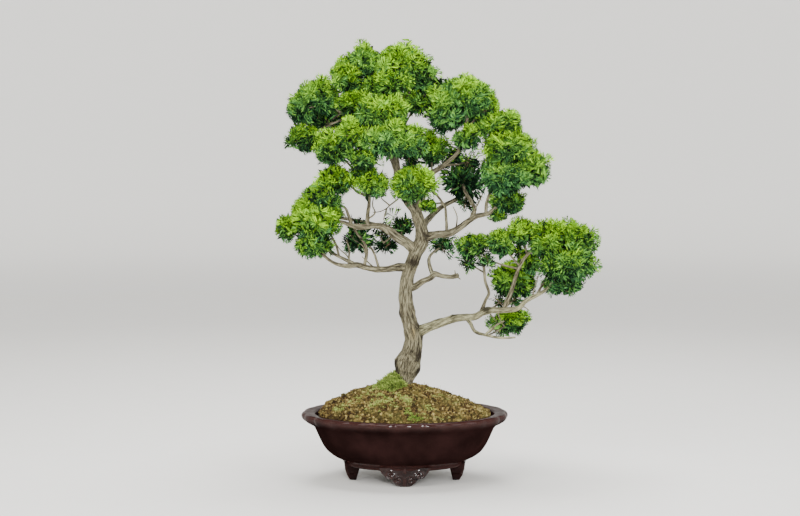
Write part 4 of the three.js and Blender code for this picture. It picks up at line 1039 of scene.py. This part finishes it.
CLUMP_REACH = 1.27  # of the clump's own reach, to the tops of its heads
CLUMP_CORE = 0.86  # the share of that where it leaves no room for a neighbour's fans
HEAD_RADIUS = 13
HEAD_DOME = 0.26  # how far a head's edge lies back from its top
HEAD_PUSH = (0.9, 1.12)  # how far out heads stand
UNEVEN = 0.2  # how far a clump's outline strays from an oval
FLAT_UNDER = 0.2
SPRAY_SPACING = 7.7
# Fans to a square of that spacing, in a full clump and in an open one that stands in shade
FULL_CROWD, OPEN_CROWD = 1.8, 0.3
SPRAY_LENGTHS = (11, 16)
OPEN_GROWTH = 1.6  # how much longer the fans of an open clump are
FULL_STRAY, OPEN_STRAY = 0.4, 1.2  # how far fans turn at random
STANDING_SHARE = 0.75  # of the fans; the others lie along the clump
STANDING_LEAN, LYING_LEAN = (0.9, 1.3), (0.3, 0.7)  # how much they point outwards
STRAY_SHARE = 0.06
TOP_SHARE = 0.7  # of the fans; the others form a layer under them
# How far out those others, the fans of an open clump and stray fans lie, in shares of the outline
UNDER_LAYER, OPEN_LAYER, STRAY_LAYER = (0.7, 0.9), (0.4, 1), (1.03, 1.12)
# Leaves inside a clump are coloured nearly black, painted shade that also keeps light from showing through
# the clump
INNER_LEAVES = 1 / 80  # dark ones inside a clump, for each square millimetre around it
OPEN_INNER = 0.03  # the share of them that an open clump has
INNER_SHADE = (0.3, 0.05, 0.3)  # their rim, tone and warmth
BLADE_WIDTH, SIDE_WIDTH, FORK_WIDTH = 0.075, 0.08, 0.085
TEMPLATES = 16
TWIGLETS = 20
# How bright a fan is painted: at the middle, darker in the creases between heads as painted shade, brighter
# up its head and up its clump as painted light from above, by patches, and by chance for a fan and for a
# blade
TONE, CREASE_SHADE, HEAD_LIGHT, TOP_LIGHT = 0.46, 0.15, 0.12, 0.25
PATCH_TONE, FAN_TONE, BLADE_TONE = 0.1, 0.08, 0.36
# How yellow, which picks the sunlit palette over the shaded one: at the middle, by the clump's age, up its
# head and up its clump as painted sunlight, and by patches
WARMTH, AGE_WARMTH, HEAD_SUN_WARMTH, TOP_SUN_WARMTH, PATCH_WARMTH = 0.45, 0.22, 0.15, 0.7, 0.35
# Clumps with the most fresh yellow growth, and those that are mostly old and bluish
FRESH_CLUMPS = "top_a top_e left_d left_e left_g left_h front_a front_c right_d right_e low_a low_b far_c"
OLD_CLUMPS = "left_a left_b right_b right_g mid_b hang inner_a inner_b inner_d far_a far_b far_f far_g"


def spray_template(rng):
    """One fan in a plane, 1 long: kites, and how far each point lies from the fan's foot."""
    starts, ways, lengths, widths, bows = [], [], [], [], []

    def blade(start, angle, length, width, bow):
        """One kite, from a place on the fan at an angle to its middle line."""
        starts.append([*start, rng.normal(0, 0.016)])
        ways.append([sin(angle), cos(angle), 0])
        lengths.append(length)
        widths.append(width * rng.uniform(0.85, 1.25))
        bows.append(bow)

    blade((0, 0), rng.normal(0, 0.05), rng.uniform(0.92, 1.02), BLADE_WIDTH, 0)
    blade((0, 0.55), 0.5, 0.3, FORK_WIDTH, 0.1)
    blade((0, 0.66), -0.5, 0.27, FORK_WIDTH, -0.1)
    for k in range(4):
        for side in (1, -1):
            share = (k + 0.5 * (side > 0) + rng.uniform(-0.15, 0.15)) / 4
            angle = side * (1.25 - 0.95 * share + rng.normal(0, 0.05))
            start = np.array([0, 0.04 + 0.5 * share])
            tip = 0.97 - 0.1 * abs(angle) + rng.normal(0, 0.035)
            along = np.array([sin(angle), cos(angle)]) * tip - start
            heading = np.arctan2(*along)
            length = np.linalg.norm(along)
            blade(start, heading, length, SIDE_WIDTH, side * 0.09)
            heading += side * rng.uniform(0.45, 0.7)
            blade(start + along * 0.5, heading, length * rng.uniform(0.38, 0.5), SIDE_WIDTH, side * 0.1)
    starts, ways, lengths = np.array(starts), np.array(ways), np.array(lengths)
    flat = np.cross(ways, [0, 0, 1.0])
    side = unit(flat + np.array([0, 0, 1.0]) * rng.uniform(-0.45, 0.45, (len(starts), 1)))
    points, faces, _ = kites(starts, ways, side, lengths, np.array(widths), 0.6)
    bend = flat * (np.array(bows) * lengths)[:, None]
    points = points.reshape(-1, 4, 3)
    points[:, 1] += bend
    points[:, 3] += bend
    points = points.reshape(-1, 3)
    rim = np.linalg.norm(points[:, :2], axis=1)
    points[:, 2] -= rng.uniform(0.1, 0.6) * points[:, 0] ** 2 + rng.uniform(-0.25, 0.35) * points[:, 1] ** 2
    return points, faces, rim


def even_ways(count, rng):
    """Unit vectors spread evenly over a sphere, a little shaken."""
    k = np.arange(count) + 0.5
    z = 1 - 2 * k / count
    turn = pi * (1 + 5**0.5) * k + rng.uniform(0, 2 * pi)
    flat = np.sqrt(1 - z * z)
    ways = np.stack([flat * np.cos(turn), flat * np.sin(turn), z], 1)
    return unit(ways + rng.normal(scale=0.5 / np.sqrt(count), size=ways.shape))


def outside_others(name, places):
    """Which places no other clump covers."""
    free = np.ones(len(places), bool)
    for other, (at, across, up, *_) in CLUMPS.items():
        if other != name:
            away = (places - at) / (np.array([across, across, up]) * CLUMP_REACH * CLUMP_CORE)
            free &= np.sum(away * away, 1) > 1
    return free


def clump_sprays(name, at, across, up, tint, rng):
    """All the fans of one clump: points, faces, each point's rim, tone and warmth; and the fans' feet."""
    open_work = tint < MIDDLE
    crowd, inner_share, turn_stray = FULL_CROWD, 1, FULL_STRAY
    if open_work:
        crowd, inner_share, turn_stray = OPEN_CROWD, OPEN_INNER, OPEN_STRAY
    reach = np.array([across, across, up]) * CLUMP_REACH
    bulge, phase = rng.normal(scale=2.2, size=(3, 3)), rng.uniform(0, 6, 3)
    area = 4 * pi * (reach[0] * reach[0] * reach[2]) ** (2 / 3)
    out = even_ways(int(area / SPRAY_SPACING**2 * crowd), rng)
    heads = even_ways(max(int(area / (pi * HEAD_RADIUS**2) * 0.8), 5), rng)
    sizes = rng.uniform(0.75, 1.3, len(heads))
    push = rng.uniform(*HEAD_PUSH, len(heads))
    nearest = np.argmin(np.arccos(np.clip(out @ heads.T, -1, 1)) / sizes, 1)
    from_head = out - heads[nearest] * np.sum(out * heads[nearest], 1, keepdims=True)
    crease = np.linalg.norm(from_head * reach, axis=1) / (HEAD_RADIUS * sizes[nearest])
    rise = from_head[:, 2] * reach[2] / HEAD_RADIUS
    round_head = unit(from_head + rng.normal(scale=0.03, size=out.shape))
    standing = rng.random(len(out)) < STANDING_SHARE
    layer = np.where(rng.random(len(out)) < TOP_SHARE, 1, rng.uniform(*UNDER_LAYER, len(out)))
    if open_work:
        layer = rng.uniform(*OPEN_LAYER, len(out))
    stray = rng.random(len(out)) < STRAY_SHARE
    layer[stray] = rng.uniform(*STRAY_LAYER, stray.sum())
    dome = (1.03 - HEAD_DOME * np.minimum(crease, 1.2) ** 2) * push[nearest]
    dome *= 1 + UNEVEN * np.sin(out @ bulge + phase).mean(1) - FLAT_UNDER * np.clip(-out[:, 2], 0, 1) ** 1.5
    surface = np.array(at) + out * reach * (dome * layer * rng.uniform(0.92, 1.03, len(out)))[:, None]
    upward = np.array([0, 0, 1.0]) - out * out[:, 2:]
    steep, flat = [rng.uniform(*leans, len(out)) for leans in (STANDING_LEAN, LYING_LEAN)]
    lean = np.where(standing | stray, steep, flat)[:, None]
    fall = np.where(standing, 0.55 * np.minimum(crease, 1.3), 0.8)[:, None]
    way = out * lean + 0.4 * upward + round_head * fall
    way = unit(way + rng.normal(scale=0.25, size=way.shape))
    facing = np.where(standing[:, None], round_head, out)
    facing += rng.normal(scale=turn_stray, size=out.shape)
    facing = unit(facing - way * np.sum(facing * way, 1, keepdims=True))
    length = rng.uniform(*SPRAY_LENGTHS, len(out)) * np.clip(across / 22, 0.75, 1.1)
    length[stray] *= 1.2
    if open_work:
        length *= OPEN_GROWTH
    foot = surface - way * length[:, None] * 0.8 - out * 1.5
    keep = np.flatnonzero(outside_others(name, foot + way * length[:, None]))
    patch = np.sin(out @ rng.normal(scale=3.5, size=(3, 3)) + rng.uniform(0, 6, 3)).mean(1)
    # Painted shade and light: fans of the lower layer are coloured darker, the creases darker, the tops of
    # heads and clump brighter, and the clump's tint adds its light or shade
    deep = (np.minimum(layer, 1) - 1) * (0.5 if open_work else 1)
    tone = TONE - CREASE_SHADE * np.minimum(crease, 1.3) ** 2 + HEAD_LIGHT * rise + TOP_LIGHT * out[:, 2]
    tone += deep + tint + PATCH_TONE * patch + rng.normal(0, FAN_TONE, len(out))
    age = (name in OLD_CLUMPS.split()) - (name in FRESH_CLUMPS.split())
    # Fresh clumps are yellower and old ones bluish; open clumps, which stand in shade, lean to the shaded
    # palette as painted shade, and tops and heads to the sunlit one as painted sunlight
    warm = rng.normal(WARMTH, 0.1) - AGE_WARMTH * age - 0.4 * open_work
    warm += TOP_SUN_WARMTH * out[:, 2] + HEAD_SUN_WARMTH * rise + PATCH_WARMTH * patch
    warm = warm + rng.normal(0, 0.05, len(out))
    fans = []
    for k in keep:
        shape, shape_faces, rim = templates[rng.integers(TEMPLATES)]
        basis = np.stack([np.cross(way[k], facing[k]), way[k], facing[k]]) * length[k]
        shades = [np.full(len(shape), value[k]) for value in (tone, warm)]
        fans.append((foot[k] + shape @ basis, shape_faces, rim, *shades))
    # Dark leaves deep inside the clump: painted shade
    inner = even_ways(max(int(INNER_LEAVES * area * inner_share), 1), rng)
    start = np.array(at) + inner * reach * rng.uniform(0.25, 0.72, (len(inner), 1)) ** 0.8
    way = unit(inner + rng.normal(scale=0.8, size=inner.shape))
    side = unit(np.cross(way, rng.normal(size=way.shape)))
    wide = rng.uniform(3.5, 6, len(inner))
    dark, dark_faces, _ = kites(start - way * 5, way, side, rng.uniform(8, 13, len(inner)), wide, 0.5)
    fans.append((dark, dark_faces, *[np.full(len(dark), value) for value in INNER_SHADE]))
    points, faces, rims, tones, warms = joined(fans)
    tones += np.repeat(rng.normal(0, BLADE_TONE, len(tones) // 4), 4)
    return (points, faces, rims, np.clip(tones, 0, 1), np.clip(warms, 0, 1)), foot[keep]


def twiglets(at, across, root, feet, rng):
    """Thin brown stems from the clump's foot to some of its sprays: three-sided tapers."""
    branch, place = root
    fine = smooth_route(BRANCHES[branch], 20)
    towards = fine[round(min(place, 0.85) * (len(fine) - 1))][:3]
    middle = np.array(at, float)
    hub = middle + unit(towards - middle) * across * 0.28
    chosen = feet[rng.permutation(len(feet))[:TWIGLETS]]
    turn = np.arange(3) * 2 * pi / 3
    points, faces = [], []
    for k, end in enumerate(chosen):
        bend = hub + (end - hub) * 0.5 + rng.normal(scale=1.5, size=3)
        way = unit(end - hub)
        side = unit(np.cross(way, [0.2, 0.5, 1]))
        ring = np.outer(np.cos(turn), side) + np.outer(np.sin(turn), np.cross(way, side))
        points += [hub + 0.75 * ring, bend + 0.55 * ring, end + 0.35 * ring]
        faces.append(tube_faces(3, 3) + 9 * k)
    return np.vstack(points), [np.vstack(faces)]


leaf = Finish("scale_leaves", Specular_IOR_Level=0.05, Roughness=0.6)
tone = leaf.own("tone") + leaf.ramp(leaf.own("rim"), 0.74, 1) * 0.2
# Two palettes of painted light: shaded bluish greens and sunlit yellow greens, mixed by warmth, which is
# partly the growth's age and partly painted sun and shade; a low tone darkens both into painted shade
shaded = leaf.steps(
    tone,
    (0.03, (0.004, 0.012, 0.006)),
    (0.35, (0.024, 0.08, 0.032)),
    (0.65, (0.075, 0.23, 0.07)),
    (1, (0.16, 0.44, 0.1)),
)
sunlit = leaf.steps(
    tone,
    (0.03, (0.008, 0.018, 0.003)),
    (0.35, (0.052, 0.135, 0.01)),
    (0.65, (0.17, 0.37, 0.014)),
    (1, (0.37, 0.7, 0.02)),
)
leaf.paint(Base_Color=leaf.mix(leaf.own("warm"), shaded, sunlit))
twig_bark = Finish("twiglet_bark", Specular_IOR_Level=0.2, Roughness=0.85)
husk = twig_bark.noise(1.5, 3)
twig_bark.paint(Base_Color=twig_bark.mix(husk, (0.12, 0.075, 0.04), (0.26, 0.19, 0.115)))

rng = np.random.default_rng(11)
templates = [spray_template(rng) for _ in range(TEMPLATES)]
lowest, highest = [(np.array(corner) - POT_MIDDLE) * 1000 for corner in cad_bounds]
for name, whole in CLUMPS.items():
    leaves, stems = [], []
    for at, across, up, root, tint in [whole, *SIDE_TUFTS.get(name, [])]:
        sprays, feet = clump_sprays(name, at, across, up, tint, rng)
        leaves.append(sprays)
        stems.append(twiglets(at, across, root, feet, rng))
    points, (faces,), *shades = joined(leaves)
    stem_points, (stem_faces,) = joined(stems)
    rims, tones, warms = [np.concatenate([shade, np.zeros(len(stem_points))]) for shade in shades]
    clump = make_piece(
        "sprays_" + name,
        np.clip(np.vstack([points, stem_points]), lowest, highest),
        [faces, stem_faces + len(points)],
        leaf,
        "foliage",
        smooth=False,
        rim=rims,
        tone=tones,
        warm=warms,
    )
    clump.data.materials.append(twig_bark.material)
    which = np.concatenate([np.zeros(len(faces)), np.ones(len(stem_faces))]).astype(np.int32)
    clump.data.polygons.foreach_set("material_index", which)
    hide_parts("foliage_" + name)

# ---- Studio ----
# A wide pale paper floor that curves up into a wall all round and glows softly there, broad lamps
# from the front and above, and a camera that looks slightly down. None of this is part of the object.

FLOOR_RADIUS, BEND_RADIUS, WALL_HEIGHT = 3400, 1400, 3000
FLOOR_RINGS, BEND_RINGS, ROUND_STEPS = 6, 12, 72
GLOW_START, GLOW_RUN = 1600, 2400  # from the middle, where the paper's glow starts and how it grows
CAMERA_AT = (-5.7, -2441, 472)
CAMERA_PITCH = 4.81
CAMERA_LENS = 90.9
SKY_STRENGTH = 0.42

profile = [(FLOOR_RADIUS * k / FLOOR_RINGS, 0) for k in range(1, FLOOR_RINGS + 1)]
for turn in np.arange(1, BEND_RINGS + 1) / BEND_RINGS * pi / 2:
    profile.append((FLOOR_RADIUS + BEND_RADIUS * sin(turn), BEND_RADIUS * (1 - cos(turn))))
profile.append((FLOOR_RADIUS + BEND_RADIUS, WALL_HEIGHT))
paper_points = np.vstack([lifted(radius * circle(ROUND_STEPS), z - FOOT_DROP) for radius, z in profile])
reach = np.hypot(*paper_points[:, :2].T)
far = np.clip((reach - GLOW_START) / GLOW_RUN, 0, 1)
far *= 0.75 + 0.25 * np.clip(paper_points[:, 1] / 2000, -1, 1)
paper = Finish("studio_paper", Specular_IOR_Level=0.2, Roughness=0.9, Emission_Strength=1)
fleck = paper.noise(40, 3)
paper.paint(
    Base_Color=paper.mix(fleck, (0.8, 0.79, 0.76), (0.83, 0.82, 0.79)),
    Emission_Color=paper.mix(paper.own("far"), (0, 0, 0), (0.62, 0.615, 0.6)),
)
paper_faces = [tube_faces(len(profile), ROUND_STEPS)[:, ::-1], np.arange(ROUND_STEPS)[None]]
floor = make_surface("studio_floor", paper_points, paper_faces, paper, far=far)


def soft_lamp(name, place, target, size, watts, colour):
    """A square lamp that faces a target, both in millimetres."""
    lamp = bpy.data.lights.new(name, "AREA")
    lamp.shape = "RECTANGLE"
    lamp.size, lamp.size_y = size
    lamp.energy = watts
    lamp.color = colour
    holder = added(name, lamp)
    start, end = to_frame(place), to_frame(target)
    holder.location = start
    holder.rotation_euler = Vector(end - start).to_track_quat("-Z", "Y").to_euler()


soft_lamp("key_lamp", (-900, -1500, 1500), (0, 0, 300), (1.3, 1.0), 31, (1, 0.985, 0.95))
soft_lamp("catch_lamp", (120, -1900, 640), (0, 0, 60), (0.36, 0.36), 30, (1, 1, 1))
soft_lamp("fill_lamp", (1500, -1300, 900), (0, 0, 280), (1.2, 1.2), 16, (0.97, 0.985, 1))
soft_lamp("top_lamp", (100, 200, 1700), (0, 0, 250), (1.2, 1.2), 48, (1, 1, 1))

world = bpy.data.worlds.new("studio")
world.use_nodes = True
sky = world.node_tree.nodes["Background"]
sky.inputs["Color"].default_value = (1, 0.99, 0.97, 1)
sky.inputs["Strength"].default_value = SKY_STRENGTH
bpy.context.scene.world = world

camera = bpy.data.cameras.new("camera")
camera.sensor_width = 36
camera.lens = CAMERA_LENS
camera.clip_end = 20
holder = added("camera", camera)
holder.location = to_frame(CAMERA_AT)
holder.rotation_euler = (radians(90 - CAMERA_PITCH), 0, 0)
bpy.context.scene.camera = holder
